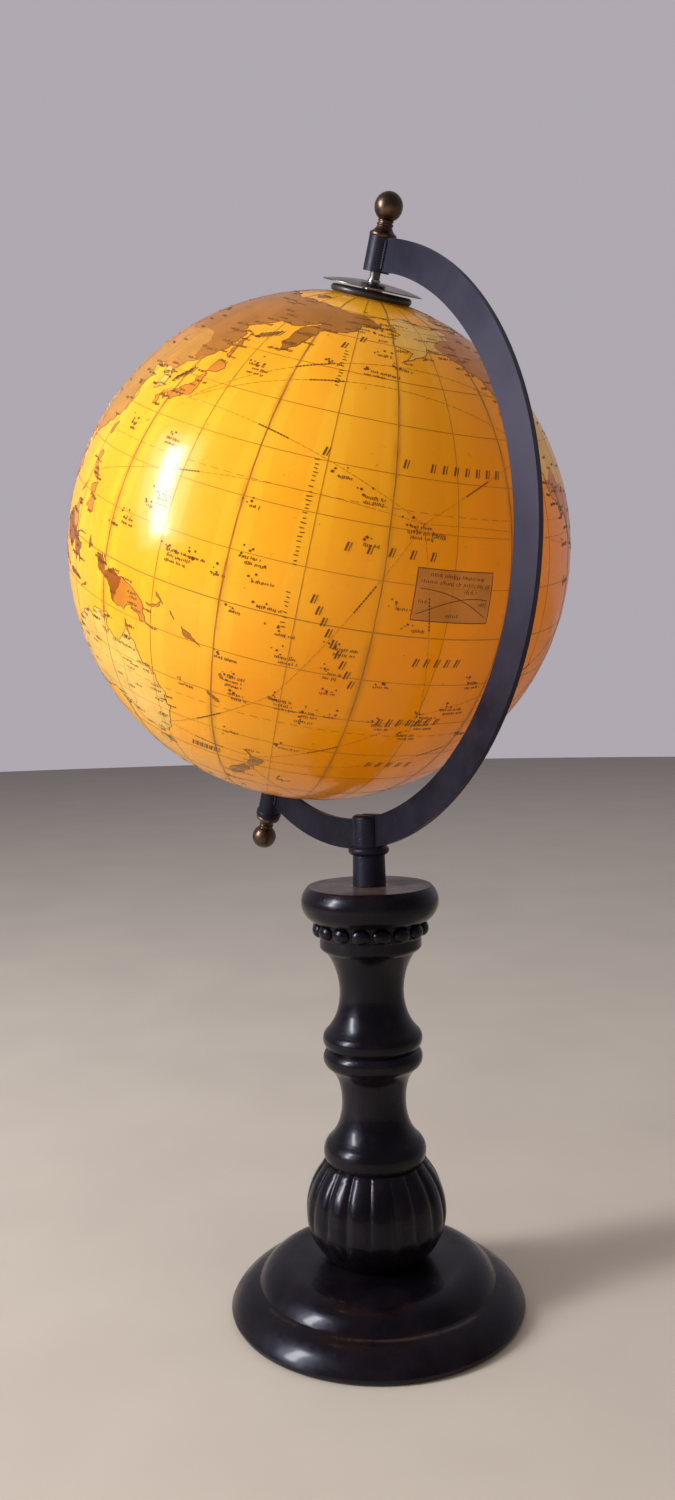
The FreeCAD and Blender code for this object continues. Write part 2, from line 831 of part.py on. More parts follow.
os.makedirs("parts", exist_ok=True)
for node in nodes:
    node.Shape.exportStep("parts/%s.step" % node.Label)
    box = node.Shape.BoundBox
    print("%-18s %9.1f mm3  x %7.1f %7.1f  y %7.1f %7.1f  z %7.1f %7.1f" % (
        node.Label, node.Shape.Volume, box.XMin, box.XMax, box.YMin, box.YMax, box.ZMin, box.ZMax))
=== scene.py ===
import json
import math
import random

import bpy
import numpy as np
from mathutils import Matrix, Vector, noise
from mathutils.geometry import delaunay_2d_cdt


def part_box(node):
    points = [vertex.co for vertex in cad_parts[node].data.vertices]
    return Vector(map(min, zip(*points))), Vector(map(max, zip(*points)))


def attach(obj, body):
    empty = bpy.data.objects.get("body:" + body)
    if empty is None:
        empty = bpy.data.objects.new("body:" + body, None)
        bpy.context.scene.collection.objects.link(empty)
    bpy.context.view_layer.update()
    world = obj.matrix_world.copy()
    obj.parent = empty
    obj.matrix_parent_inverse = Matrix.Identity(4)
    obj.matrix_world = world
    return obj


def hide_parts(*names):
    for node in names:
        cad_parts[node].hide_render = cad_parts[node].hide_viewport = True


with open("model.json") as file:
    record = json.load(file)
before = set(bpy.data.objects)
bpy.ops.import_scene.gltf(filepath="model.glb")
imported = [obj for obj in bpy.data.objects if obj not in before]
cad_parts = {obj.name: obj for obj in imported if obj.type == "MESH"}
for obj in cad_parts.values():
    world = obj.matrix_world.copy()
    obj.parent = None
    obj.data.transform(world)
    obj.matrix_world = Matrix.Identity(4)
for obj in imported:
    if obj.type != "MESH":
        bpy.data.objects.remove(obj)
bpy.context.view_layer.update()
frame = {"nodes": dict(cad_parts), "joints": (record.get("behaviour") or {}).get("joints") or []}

# Metres throughout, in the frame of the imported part: origin under the stand, +Z up.
MM = 0.001


# ---------------------------------------------------------------- node trees

class Nodes:
    """A node tree that is built up node by node."""

    def __init__(self, tree):
        self.tree = tree

    def add(self, kind, **settings):
        """A new node with its settings; sockets are wired by feed()."""
        node = self.tree.nodes.new("ShaderNode" + kind)
        for key, value in settings.items():
            setattr(node, key, value)
        return node

    def feed(self, node, socket, value):
        """Give a socket either a constant or another node's output."""
        if isinstance(value, bpy.types.NodeSocket):
            self.tree.links.new(value, node.inputs[socket])
        else:
            node.inputs[socket].default_value = value

    def along(self, vector, way):
        """How far a vector reaches in one direction."""
        node = self.add("VectorMath", operation="DOT_PRODUCT")
        self.feed(node, 0, vector)
        self.feed(node, 1, way)
        return node.outputs["Value"]

    def window(self, value, low, high, out_low=0.0, out_high=1.0):
        """A smooth step from out_low to out_high as the value goes from low to high."""
        node = self.add("MapRange", interpolation_type="SMOOTHSTEP")
        for socket, number in (("Value", value), ("From Min", low), ("From Max", high),
                               ("To Min", out_low), ("To Max", out_high)):
            self.feed(node, socket, number)
        return node.outputs["Result"]


class Finish(Nodes):
    """A node material: a Principled shader whose colour, roughness and bump are built up."""

    def __init__(self, name, **fixed):
        self.material = bpy.data.materials.new(name)
        self.material.use_nodes = True
        super().__init__(self.material.node_tree)
        self.shader = self.tree.nodes["Principled BSDF"]
        for socket, value in fixed.items():
            self.shader.inputs[socket.replace("_", " ")].default_value = value
        self.place = self.add("TexCoord").outputs["Object"]

    def maths(self, operation, *values, clamp=False):
        """One arithmetic step."""
        node = self.add("Math", operation=operation, use_clamp=clamp)
        for index, value in enumerate(values):
            self.feed(node, index, value)
        return node.outputs[0]

    def stretched(self, scale):
        """Object coordinates scaled along each axis, in cycles per metre."""
        node = self.add("Mapping", vector_type="POINT")
        self.feed(node, "Vector", self.place)
        self.feed(node, "Scale", scale)
        return node.outputs[0]

    def cloud(self, scale, detail=4.0, rough=0.55, where=None):
        """Fractal noise from 0 to 1."""
        node = self.add("TexNoise")
        self.feed(node, "Vector", where or self.place)
        self.feed(node, "Scale", scale)
        self.feed(node, "Detail", detail)
        self.feed(node, "Roughness", rough)
        return node.outputs["Fac"]

    def mix(self, factor, first, second):
        """Blend two colours."""
        node = self.add("Mix", data_type="RGBA")
        for index, value in ((0, factor), (6, first), (7, second)):
            if isinstance(value, tuple):
                value = (*value, 1)
            self.feed(node, index, value)
        return node.outputs[2]

    def colour(self, value):
        """Colour of the surface."""
        self.feed(self.shader, "Base Color", value)

    def roughness(self, value):
        """How dull the surface is, from 0 to 1."""
        self.feed(self.shader, "Roughness", value)

    def bump(self, height, distance, strength=1.0):
        """Relief from a height of 0 to 1 that stands for a distance in metres."""
        node = self.add("Bump")
        self.feed(node, "Height", height)
        self.feed(node, "Distance", distance)
        self.feed(node, "Strength", strength)
        self.feed(self.shader, "Normal", node.outputs[0])

    def axis(self, name):
        """One object coordinate in metres."""
        node = self.add("SeparateXYZ")
        self.feed(node, 0, self.place)
        return node.outputs[name]

    def axis_distance(self):
        """Distance from the column's axis in metres."""
        across = self.axis("X")
        along = self.axis("Y")
        return self.maths("SQRT", self.maths("ADD", self.maths("MULTIPLY", across, across),
                                             self.maths("MULTIPLY", along, along)))

    def lathe(self, around, along):
        """Coordinates that change slowly round the column and quickly along its outline."""
        node = self.add("CombineXYZ")
        self.feed(node, "X", self.maths("MULTIPLY", self.axis("X"), around))
        self.feed(node, "Y", self.maths("MULTIPLY", self.axis("Y"), around))
        level = self.maths("SUBTRACT", self.axis("Z"), self.axis_distance())
        self.feed(node, "Z", self.maths("MULTIPLY", level, along))
        return node.outputs[0]


# ---------------------------------------------------------------- camera, floor and lights

CAMERA_AT = Vector((0.56911, -0.39079, 0.36580))
CAMERA_LOOK = Vector((-0.83737, 0.54479, -0.04492)).normalized()
CAMERA_RIGHT = Vector((0.54605, 0.83746, -0.02239)).normalized()
CAMERA_LENS = 28.03
CAMERA_SENSOR = 36.0
CAMERA_NEAR = 0.01
FLOOR_REACH = 6.0
FLOOR_SIDES = 96
# The surroundings are brighter towards one side; how far round the change begins and ends.
WALL_SIDE = Vector((-0.84, 0.54, 0.0))
WALL_FADE_START = -0.3
WALL_FADE_END = 0.6


def aim(obj, look, right):
    """Turn an object so that its -Z looks along one direction and its X points along another."""
    up = right.cross(look).normalized()
    side = look.cross(up)
    obj.matrix_world = Matrix((side, up, -look)).transposed().to_4x4()


def add_camera():
    """Camera at arm's length, level with the lower half of the ball and looking slightly down."""
    data = bpy.data.cameras.new("camera")
    data.lens = CAMERA_LENS
    data.sensor_width = CAMERA_SENSOR
    data.clip_start = CAMERA_NEAR
    camera = bpy.data.objects.new("camera", data)
    bpy.context.collection.objects.link(camera)
    aim(camera, CAMERA_LOOK, CAMERA_RIGHT)
    camera.location = CAMERA_AT
    bpy.context.scene.camera = camera


def add_softbox(name, centre, target, wide, high, watts, colour, mirrored=True):
    """Rectangular soft light facing a target; one that isn't mirrored only fills shadows."""
    data = bpy.data.lights.new(name, "AREA")
    data.shape = "RECTANGLE"
    data.size = wide
    data.size_y = high
    data.energy = watts
    data.color = colour
    light = bpy.data.objects.new(name, data)
    light.visible_glossy = mirrored
    bpy.context.collection.objects.link(light)
    look = (target - centre).normalized()
    aim(light, look, look.cross(Vector((0, 0, 1))).normalized())
    light.location = centre


def add_floor(paint):
    """Round pale floor that the globe stands on."""
    rim = []
    for k in range(FLOOR_SIDES):
        angle = 2 * math.pi * k / FLOOR_SIDES
        rim.append((FLOOR_REACH * math.cos(angle), FLOOR_REACH * math.sin(angle), 0))
    mesh = bpy.data.meshes.new("floor")
    mesh.from_pydata(rim, [], [list(range(FLOOR_SIDES))])
    mesh.materials.append(paint)
    floor = bpy.data.objects.new("floor", mesh)
    bpy.context.collection.objects.link(floor)


def set_world(colour, dim, bright):
    """Surroundings of one colour, which shine more strongly from the side where a wall would stand."""
    world = bpy.data.worlds.new("surroundings")
    world.use_nodes = True
    nodes = Nodes(world.node_tree)
    lit = nodes.tree.nodes["Background"]
    shown = nodes.add("Background")
    for background in (lit, shown):
        nodes.feed(background, "Color", (*colour, 1))
    side = nodes.along(nodes.add("TexCoord").outputs["Generated"], WALL_SIDE)
    nodes.feed(lit, "Strength", nodes.window(side, WALL_FADE_START, WALL_FADE_END, dim, bright))
    choose = nodes.add("MixShader")
    nodes.feed(choose, "Fac", nodes.add("LightPath").outputs["Is Camera Ray"])
    nodes.feed(choose, 1, lit.outputs[0])
    nodes.feed(choose, 2, shown.outputs[0])
    nodes.feed(nodes.tree.nodes["World Output"], "Surface", choose.outputs[0])
    bpy.context.scene.world = world


# ---------------------------------------------------------------- meshes

def build_mesh(name, corners, faces, paint, body, normals=None):
    """A new piece riding on a body; with normals given, it shades as the surface they belong to."""
    mesh = bpy.data.meshes.new(name)
    mesh.from_pydata([tuple(c) for c in corners], [], faces)
    mesh.materials.append(paint)
    mesh.shade_smooth()
    if normals is not None:
        mesh.normals_split_custom_set_from_vertices([tuple(n) for n in normals])
    piece = bpy.data.objects.new(name, mesh)
    bpy.context.collection.objects.link(piece)
    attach(piece, body)
    return piece


def add_tube(corners, faces, rings, closed=False):
    """Skin equal rings of points; an open tube gets flat ends, a closed one joins up."""
    around = len(rings[0])
    first = len(corners)
    for ring in rings:
        corners.extend(ring)
    for k in range(len(rings) if closed else len(rings) - 1):
        near = first + k * around
        far = first + (k + 1) % len(rings) * around
        for j in range(around):
            beside = (j + 1) % around
            faces.append((near + j, near + beside, far + beside, far + j))
    if not closed:
        faces.append(tuple(reversed(range(first, first + around))))
        last = first + (len(rings) - 1) * around
        faces.append(tuple(range(last, last + around)))


# ---------------------------------------------------------------- carved bulb

FOOT_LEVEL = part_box("fluted_bulb")[0].z
NECK_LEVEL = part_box("fluted_bulb")[1].z
# Corners of the bulb's outline as (radius, height).
BULB_FOOT = (28.5 * MM, FOOT_LEVEL)
BULB_WIDEST = (42.1 * MM, FOOT_LEVEL + 26.7 * MM)
BULB_SHOULDER = (32.2 * MM, NECK_LEVEL - 3.2 * MM)
BULB_NECK = (29.0 * MM, NECK_LEVEL)
# The arcs between them, each with its radius and the number of steps it is drawn in.
BULB_ARCS = [
    (BULB_FOOT, BULB_WIDEST, 34.0 * MM, 26),
    (BULB_WIDEST, BULB_SHOULDER, 43.4 * MM, 26),
    (BULB_SHOULDER, BULB_NECK, 5.0 * MM, 7),
]
LOBES = 18
STEPS_PER_LOBE = 16
LOBE_DEPTH = 1.8 * MM
LOBE_SHARPNESS = 1.6
# The grooves begin at the first height and reach their full depth at the second.
LOBE_START = FOOT_LEVEL + 7.5 * MM
LOBE_FULL = FOOT_LEVEL + 28.5 * MM


def bulging_arc(start, end, curve, share):
    """Point on an arc that bulges away from the axis between two (radius, height) points."""
    start, end = Vector(start), Vector(end)
    middle = (start + end) / 2
    half = (end - start) / 2
    inward = Vector((-half.y, half.x)).normalized()
    centre = middle + inward * math.sqrt(curve ** 2 - half.length_squared)
    angle_from = math.atan2(start.y - centre.y, start.x - centre.x)
    angle_to = math.atan2(end.y - centre.y, end.x - centre.x)
    angle = angle_from + (angle_to - angle_from) * share
    return centre.x + curve * math.cos(angle), centre.y + curve * math.sin(angle)


def build_bulb(paint):
    """Carved bulb: rounded lobes parted by narrow grooves that die out towards the foot."""
    outline = []
    for start, end, curve, steps in BULB_ARCS:
        outline += [bulging_arc(start, end, curve, k / steps) for k in range(steps)]
    outline.append(BULB_NECK)
    around = LOBES * STEPS_PER_LOBE
    rings = []
    for radius, height in outline:
        share = min(1.0, max(0.0, (height - LOBE_START) / (LOBE_FULL - LOBE_START)))
        depth = LOBE_DEPTH * share * share * (3 - 2 * share) * radius / BULB_WIDEST[0]
        ring = []
        for k in range(around):
            angle = 2 * math.pi * k / around
            hollow = (1 - abs(math.sin(LOBES / 2 * angle))) ** LOBE_SHARPNESS
            reach = radius - depth * hollow
            ring.append((reach * math.cos(angle), reach * math.sin(angle), height))
        rings.append(ring)
    corners = []
    faces = []
    add_tube(corners, faces, rings)
    bulb = build_mesh("carved_bulb", corners, faces, paint, "stand")
    for flat_end in bulb.data.polygons[-2:]:
        flat_end.use_smooth = False
    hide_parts("fluted_bulb")


# ---------------------------------------------------------------- geography

# Shores as (latitude, longitude) corners, east positive; the wiggles between them are grown.
SHORES = {
    "eurasia": [
        (71, 26), (70, 31), (67.5, 41), (66.6, 33), (64.2, 36), (64.7, 40.3), (66.2, 44), (68.6, 43.5),
        (67, 46), (68.6, 54), (68.4, 64), (71, 67), (73, 69.5), (68.5, 73), (71.5, 75), (73, 79),
        (74.5, 86), (76, 98), (77.7, 104), (74, 110), (73.2, 122), (71.5, 130), (72.2, 141), (70.8, 158),
        (69.5, 170), (69.5, 178), (67, 187), (66.1, 190.2), (64.4, 187), (65.4, 181), (62.6, 179.4),
        (60.2, 170.5), (59.9, 164.5), (56.3, 163.2), (53, 160), (51, 156.8), (54, 155.6), (57.5, 156.9),
        (60.8, 162), (62.3, 164.5), (61, 159.5), (59.3, 153), (59.2, 146), (56, 138), (53.9, 137.5),
        (53.5, 141), (49, 140.3), (43, 133), (42.3, 130.7), (39.5, 127.5), (37, 129.4), (35.2, 129),
        (34.4, 126.5), (37.5, 126.6), (39.8, 124.2), (38.9, 121.3), (40.8, 121.3), (39, 117.8),
        (37.3, 119), (37.3, 122.4), (35, 119.4), (32, 121.6), (28, 121), (24.5, 118), (22.2, 114),
        (20.4, 110.2), (21.5, 108.3), (18.8, 105.7), (16, 108.3), (12.5, 109.4), (8.7, 105),
        (10.4, 104.5), (12.6, 101.6), (13.4, 100.5), (9.4, 99.4), (6.8, 101.2), (1.4, 104), (3.5, 101),
        (8, 98.3), (13, 98.5), (16.8, 97.3), (16, 94.4), (19.5, 93.5), (22.3, 91.5), (21.6, 88),
        (19.6, 85.4), (16, 81.2), (13, 80.3), (10.2, 79.8), (8.1, 77.5), (12, 75), (19, 72.8),
        (21.2, 72.6), (20.8, 70.6), (23.4, 68.3), (25.2, 66.4), (25.3, 61.5), (27, 57), (26.7, 54.5),
        (30.1, 50), (29.8, 48), (26, 50.2), (24.3, 52), (26.2, 56.3), (22.4, 59.8), (17, 55.5),
        (15, 51), (12.8, 45), (15.5, 42.7), (21, 39.2), (28.2, 34.8), (29.5, 34.9), (27.8, 34.2),
        (30, 32.6), (31.2, 32.4), (31.4, 34.3), (35.5, 35.8), (36.8, 36), (36.2, 32.5), (36.9, 30.7),
        (36.8, 28), (39.5, 26.3), (41, 29.1), (42, 34.5), (41, 38.5), (41.6, 41.6), (44.6, 37.8),
        (45.4, 36.7), (47.1, 38.8), (45.6, 34.8), (44.5, 33.8), (46.4, 31.5), (44.5, 28.7), (42, 28),
        (41.1, 28.8), (40.7, 26), (40.5, 22.8), (38, 24), (36.5, 22.8), (38.6, 20.8), (42, 19.2),
        (45, 14.5), (45.5, 13), (43.6, 13.6), (41.9, 16), (40, 18.4), (40.4, 17), (38, 15.8),
        (40.7, 14.3), (42.3, 11.5), (44.3, 8.8), (43.2, 4.5), (41.3, 2.2), (38.8, 0), (36.8, -2.2),
        (36.1, -5.5), (37.1, -8.9), (40, -8.9), (43.2, -9.2), (43.4, -1.8), (46, -1.2), (48.4, -4.7),
        (48.7, -1.5), (49.7, -1.8), (51, 1.8), (53.4, 5.5), (53.8, 8.6), (57, 8.2), (57.6, 10.5),
        (54.5, 10.4), (54.1, 13.5), (54.8, 20), (57.2, 21.5), (58.8, 23.5), (59.6, 29.5), (60.2, 25),
        (60.2, 22), (62.8, 21.2), (65.2, 25.3), (65.5, 22), (61.5, 17.2), (58.9, 17.5), (55.5, 13.8),
        (58.8, 11), (58.1, 7.5), (60, 5.1), (62.8, 6.5), (67.5, 14.5), (69.8, 19),
    ],
    "africa": [
        (35.9, -5.5), (35.2, -2), (37, 4), (37.2, 9.8), (33.6, 10.4), (32.5, 15), (30.3, 19), (32.6, 22),
        (31.3, 27), (31.3, 31), (31, 32.3), (29.9, 32.4), (23, 35.6), (18.5, 37.4), (12.5, 43.2),
        (10.6, 44.5), (11.9, 51.1), (2, 45.5), (-3, 40.2), (-7, 39.4), (-15, 40.7), (-19.8, 34.9),
        (-24, 35.4), (-26.5, 32.8), (-33, 28), (-34.7, 20), (-32.5, 18.2), (-23, 14.4), (-17, 11.8),
        (-9, 13.1), (-1, 9), (4, 9.5), (4.4, 6.5), (6.3, 3.5), (4.8, -2.2), (4.4, -7.7), (8, -13.2),
        (14.7, -17.4), (21, -17), (28, -12.8), (33.5, -8),
    ],
    "north_america": [
        (65.6, -168), (64.4, -161), (63, -164.6), (60.2, -165), (58.6, -157.6), (55.2, -163), (57.5, -156),
        (61, -150.5), (59.8, -147), (60, -141.5), (58, -136.5), (54.5, -130.5), (50.5, -127), (48.3, -124.5),
        (43, -124.4), (38, -123), (34.4, -120.5), (32.5, -117.1), (27.8, -115), (23, -110), (25.5, -111.2),
        (31.6, -114.8), (28, -111), (23.3, -106.5), (20.2, -105.5), (17, -101), (15.8, -96), (14, -91.5),
        (12.8, -87.5), (8.5, -83.3), (7.3, -80.5), (8.9, -79.5), (7.6, -77.9), (8.8, -77.4), (9.3, -80.5),
        (11, -83.7), (15, -83.3), (15.9, -88), (21.4, -87), (21.2, -90.3), (18.4, -92), (19, -96),
        (22.5, -97.8), (27.5, -97.3), (29.6, -94), (29.2, -89.8), (30, -84.5), (25.3, -81), (31, -81.3),
        (35.2, -75.6), (40.6, -73.9), (41.8, -70), (44.8, -67), (43.6, -65.6), (46, -60), (47.5, -65),
        (49.2, -66.5), (50.2, -62), (52.4, -55.8), (56.5, -61.4), (60.3, -64.6), (58.5, -68.5),
        (62.4, -75), (59, -78), (54.8, -79.3), (51.4, -79.2), (54.8, -82.3), (57, -90), (59.5, -94.7),
        (64, -88), (68.5, -82), (69, -90), (72, -94.5), (68, -100), (68.2, -110), (70, -124),
        (69, -136), (71.2, -156), (68.6, -166), (66.4, -162.5),
    ],
    "south_america": [
        (8.8, -77.3), (11.1, -74.6), (12.2, -71.6), (10.6, -66), (10.5, -62), (6.5, -58), (4.2, -51.6),
        (-0.8, -48.5), (-2.8, -41), (-5.4, -35.4), (-9, -35.2), (-13, -38.6), (-18, -39.6), (-22.8, -42),
        (-25.8, -48.6), (-30, -50), (-34.8, -55), (-34.5, -58.3), (-38, -57.6), (-39, -62), (-42.5, -64.5),
        (-46.5, -67), (-51.5, -69), (-55, -66), (-55, -71), (-50, -75.2), (-42, -74), (-37, -73.4),
        (-30, -71.6), (-18.3, -70.4), (-15, -75.6), (-6, -81), (-2.5, -80), (1, -79.8), (7.4, -77.9),
    ],
    "australia": [
        (-10.8, 142.5), (-14.5, 143.8), (-16.5, 145.5), (-19.3, 147), (-22.5, 150.7), (-25, 153.1),
        (-28.5, 153.6), (-32.5, 152.4), (-37.5, 149.9), (-39, 146.4), (-38.2, 141.5), (-35.6, 138.6),
        (-33, 138), (-35, 136), (-31.6, 131.2), (-33.9, 123.6), (-35.1, 117.8), (-34.3, 115.1),
        (-31.5, 115.6), (-26.2, 113.4), (-21.9, 114.2), (-20, 119), (-16.5, 123), (-14, 127),
        (-15, 129.4), (-12.3, 131), (-12.2, 136.6), (-15, 135.6), (-17.6, 140.3), (-14.5, 141.7),
    ],
    "antarctica": [
        (-70, -12), (-70, 15), (-69, 36), (-66.5, 52), (-68.5, 74), (-66.5, 95), (-66.5, 130), (-69, 158),
        (-77.6, 166), (-78.4, -175), (-77, -152), (-74.6, -125), (-73, -100), (-73, -76), (-68.5, -67),
        (-63.4, -57.5), (-68, -64), (-74, -61), (-78, -48), (-76, -28),
    ],
    "greenland": [
        (60, -44), (65.5, -53), (69.5, -51.5), (75.5, -58.5), (76.3, -68.5), (79, -66), (82.3, -50),
        (83.5, -32), (81.5, -14), (76, -20), (70.5, -22.5), (67.5, -33), (65, -40),
    ],
    "new_guinea": [
        (-0.5, 131.5), (-1, 134.2), (-3.2, 135.5), (-1.7, 138), (-3.6, 144), (-6, 147.5), (-8.6, 148.4),
        (-10.5, 150.7), (-9.9, 147.5), (-7.8, 144.5), (-9.1, 142.3), (-8.2, 138), (-4.6, 136),
        (-3.8, 133), (-2.2, 132.3),
    ],
    "borneo": [(7, 116.9), (4.5, 118.6), (1, 118.9), (-3.9, 115.8), (-3, 111.6), (1.6, 109.2), (4.4, 113.9)],
    "sumatra": [(5.6, 95.4), (3.2, 99.5), (-1, 104), (-5.8, 105.8), (-3.5, 102), (1, 98.8)],
    "java": [(-6, 106), (-6.9, 111), (-7.8, 114.4), (-8.5, 114.2), (-7.8, 109), (-6.9, 105.5)],
    "celebes": [(1.4, 125), (0.4, 120.6), (-1, 121), (-1, 123.3), (-3, 122.3), (-5.3, 122.8), (-2.9, 120.9),
                (-5.5, 120.2), (-3, 119), (0.9, 119.9)],
    "timor": [(-8.4, 126.9), (-10.3, 123.6), (-9.4, 124.6)],
    "flores": [(-8.3, 116), (-8.2, 122.9), (-8.8, 121), (-8.9, 116.2)],
    "halmahera": [(2, 127.8), (0, 128.7), (-0.8, 127.6), (1, 127.5)],
    "new_britain": [(-4.2, 152.2), (-5.9, 150.2), (-5.6, 148.4), (-5.2, 150.5)],
    "new_ireland": [(-2.6, 150.8), (-4.6, 153), (-3.3, 151.8)],
    "bougainville": [(-5.2, 154.6), (-6.8, 155.8), (-6, 155)],
    "solomons": [(-7.6, 157.6), (-9.8, 160.8), (-10.6, 162.2), (-8.6, 159.8)],
    "new_caledonia": [(-20.1, 164), (-22.3, 167), (-21.2, 165)],
    "vanuatu": [(-15, 167), (-16.4, 167.9), (-15.4, 166.6)],
    "fiji": [(-17.4, 177.4), (-17.8, 178.6), (-18.2, 177.6)],
    "luzon": [(18.5, 120.9), (18.3, 122.2), (15.4, 121.5), (13.1, 123.9), (13.8, 120.9), (16.2, 120)],
    "visayas": [(12.4, 125), (10.2, 125.2), (9.2, 123.2), (11.4, 122.2)],
    "mindanao": [(9.6, 125.6), (6.4, 126.2), (5.8, 125), (7, 122.2), (8.4, 123.4)],
    "palawan": [(11.3, 119.5), (8.5, 117.3), (10, 118.3)],
    "taiwan": [(25.2, 121.6), (22, 120.8), (23.6, 120.1)],
    "hainan": [(20, 110.7), (18.3, 109.6), (19.3, 108.7)],
    "honshu": [(41.4, 141.2), (38.3, 141.4), (35.6, 140.7), (34.7, 138.2), (33.5, 135.7), (34.5, 133.4),
               (34, 131), (35.6, 133.2), (36.2, 136.1), (37.4, 137.2), (38.6, 139.6), (40.5, 139.9)],
    "kyushu": [(33.9, 131), (32, 131.7), (31.2, 130.6), (33.2, 129.7)],
    "shikoku": [(34.2, 134.4), (32.9, 133), (33.6, 132.4)],
    "hokkaido": [(45.4, 141.8), (43.4, 145.3), (42, 143.2), (41.6, 140.3), (43.3, 140.6)],
    "sakhalin": [(54.3, 142.8), (50, 143.8), (46.1, 143.3), (47, 142), (51.5, 141.8)],
    "ceylon": [(9.7, 80.2), (7, 81.8), (6, 80.5), (8, 79.8)],
    "madagascar": [(-12, 49.3), (-16, 50.2), (-25, 47), (-25, 44.2), (-20, 44.4), (-16, 45)],
    "britain": [(58.6, -4), (57.5, -2), (54.8, -1.4), (52.8, 1.6), (51.2, 1.3), (50.2, -5.4), (51.8, -4),
                (53.4, -4), (54.9, -3.6), (56.6, -6)],
    "ireland": [(55.2, -7), (52.2, -6.4), (51.6, -10), (54.2, -10)],
    "iceland": [(66.3, -16), (65, -13.6), (63.4, -19), (64, -22.5), (65.6, -24.2), (65.8, -20)],
    "svalbard": [(80, 12), (80.2, 26), (78, 21), (76.6, 16.5), (78.5, 12)],
    "novaya_zemlya": [(70.6, 55), (72, 52), (74.5, 56), (76.9, 68), (75, 61), (71.8, 56)],
    "severnaya_zemlya": [(78, 100), (79.5, 103), (81, 96), (79.5, 93)],
    "new_siberia": [(75, 137), (76, 140), (75.2, 150), (73.6, 143)],
    "wrangel": [(71.5, 179), (71.2, -177.6), (70.8, -179)],
    "cuba": [(21.9, -84.9), (23.2, -82), (21.2, -76.5), (20.1, -74.3), (20, -77.6), (21.7, -81.5)],
    "hispaniola": [(19.8, -73), (18.6, -68.4), (17.9, -71.5), (18.4, -74.4)],
    "newfoundland": [(51.5, -55.6), (47.6, -52.8), (46.9, -55.8), (47.7, -59.2)],
    "baffin": [(62, -66), (65, -63), (67.2, -62.5), (70.5, -68.5), (73.6, -80), (73, -88), (70.5, -85),
               (69, -75), (66, -73.5), (64.2, -78), (62.6, -70)],
    "victoria_island": [(68.8, -114), (71.4, -118), (73, -112), (72.5, -105), (69.5, -102)],
    "banks": [(71.4, -123), (74.2, -124), (74, -117), (72, -118.5)],
    "ellesmere": [(76.4, -89), (76.5, -79.5), (79, -75), (81.4, -64), (82, -72), (81, -88)],
    "melville": [(75, -115), (76.4, -112), (75.6, -106), (74.7, -108)],
    "vancouver_island": [(50.8, -128), (48.5, -123.6), (49.2, -126)],
    "kodiak": [(58.2, -152.6), (57, -154.4), (57.4, -152.4)],
    "hawaii": [(20.2, -155.8), (19.4, -155), (19, -155.7), (19.7, -156)],
    "maui": [(21, -156.8), (20.7, -156.1), (20.6, -156.5)],
    "oahu": [(21.7, -158), (21.3, -157.7), (21.3, -158.1)],
    "tasmania": [(-40.8, 144.8), (-40.9, 148.2), (-43.4, 147.4), (-43.3, 146)],
    "north_island": [(-34.5, 172.9), (-36.6, 175.1), (-37.7, 178.4), (-39.4, 177), (-41.5, 175.2),
                     (-39.5, 173.8), (-37.8, 174.8)],
    "south_island": [(-40.6, 172.8), (-41.6, 174.2), (-43.9, 172.8), (-46.4, 170), (-46.6, 168),
                     (-44.5, 167.8), (-42, 171.3)],
}

# Inland waters cut out of the land; the last one is the hole for the south sleeve.
LAKES = [
    [(47, 51.5), (45.2, 53), (42, 52.4), (37, 53.6), (37.6, 49.4), (42.4, 47.8), (45.2, 47.3)],
    [(55.6, 109.6), (51.7, 105.4), (51.6, 103.9), (54, 108)],
    [(48.7, -88), (46.6, -84.9), (46.7, -91.6)],
    [(45.8, -84.8), (43.2, -82), (45.2, -81), (46, -82)],
    [(45.8, -85.6), (41.7, -86.8), (42, -87.8), (45.2, -87)],
    [(0.4, 32.4), (0.2, 34), (-2.5, 33), (-1, 31.8)],
    [(61.5, 31), (60.8, 33), (60, 31.8)],
    [(66.6, -121), (65.6, -119), (65, -123)],
    [(-87.6, 0), (-87.6, 60), (-87.6, 120), (-87.6, 180), (-87.6, 240), (-87.6, 300)],
]

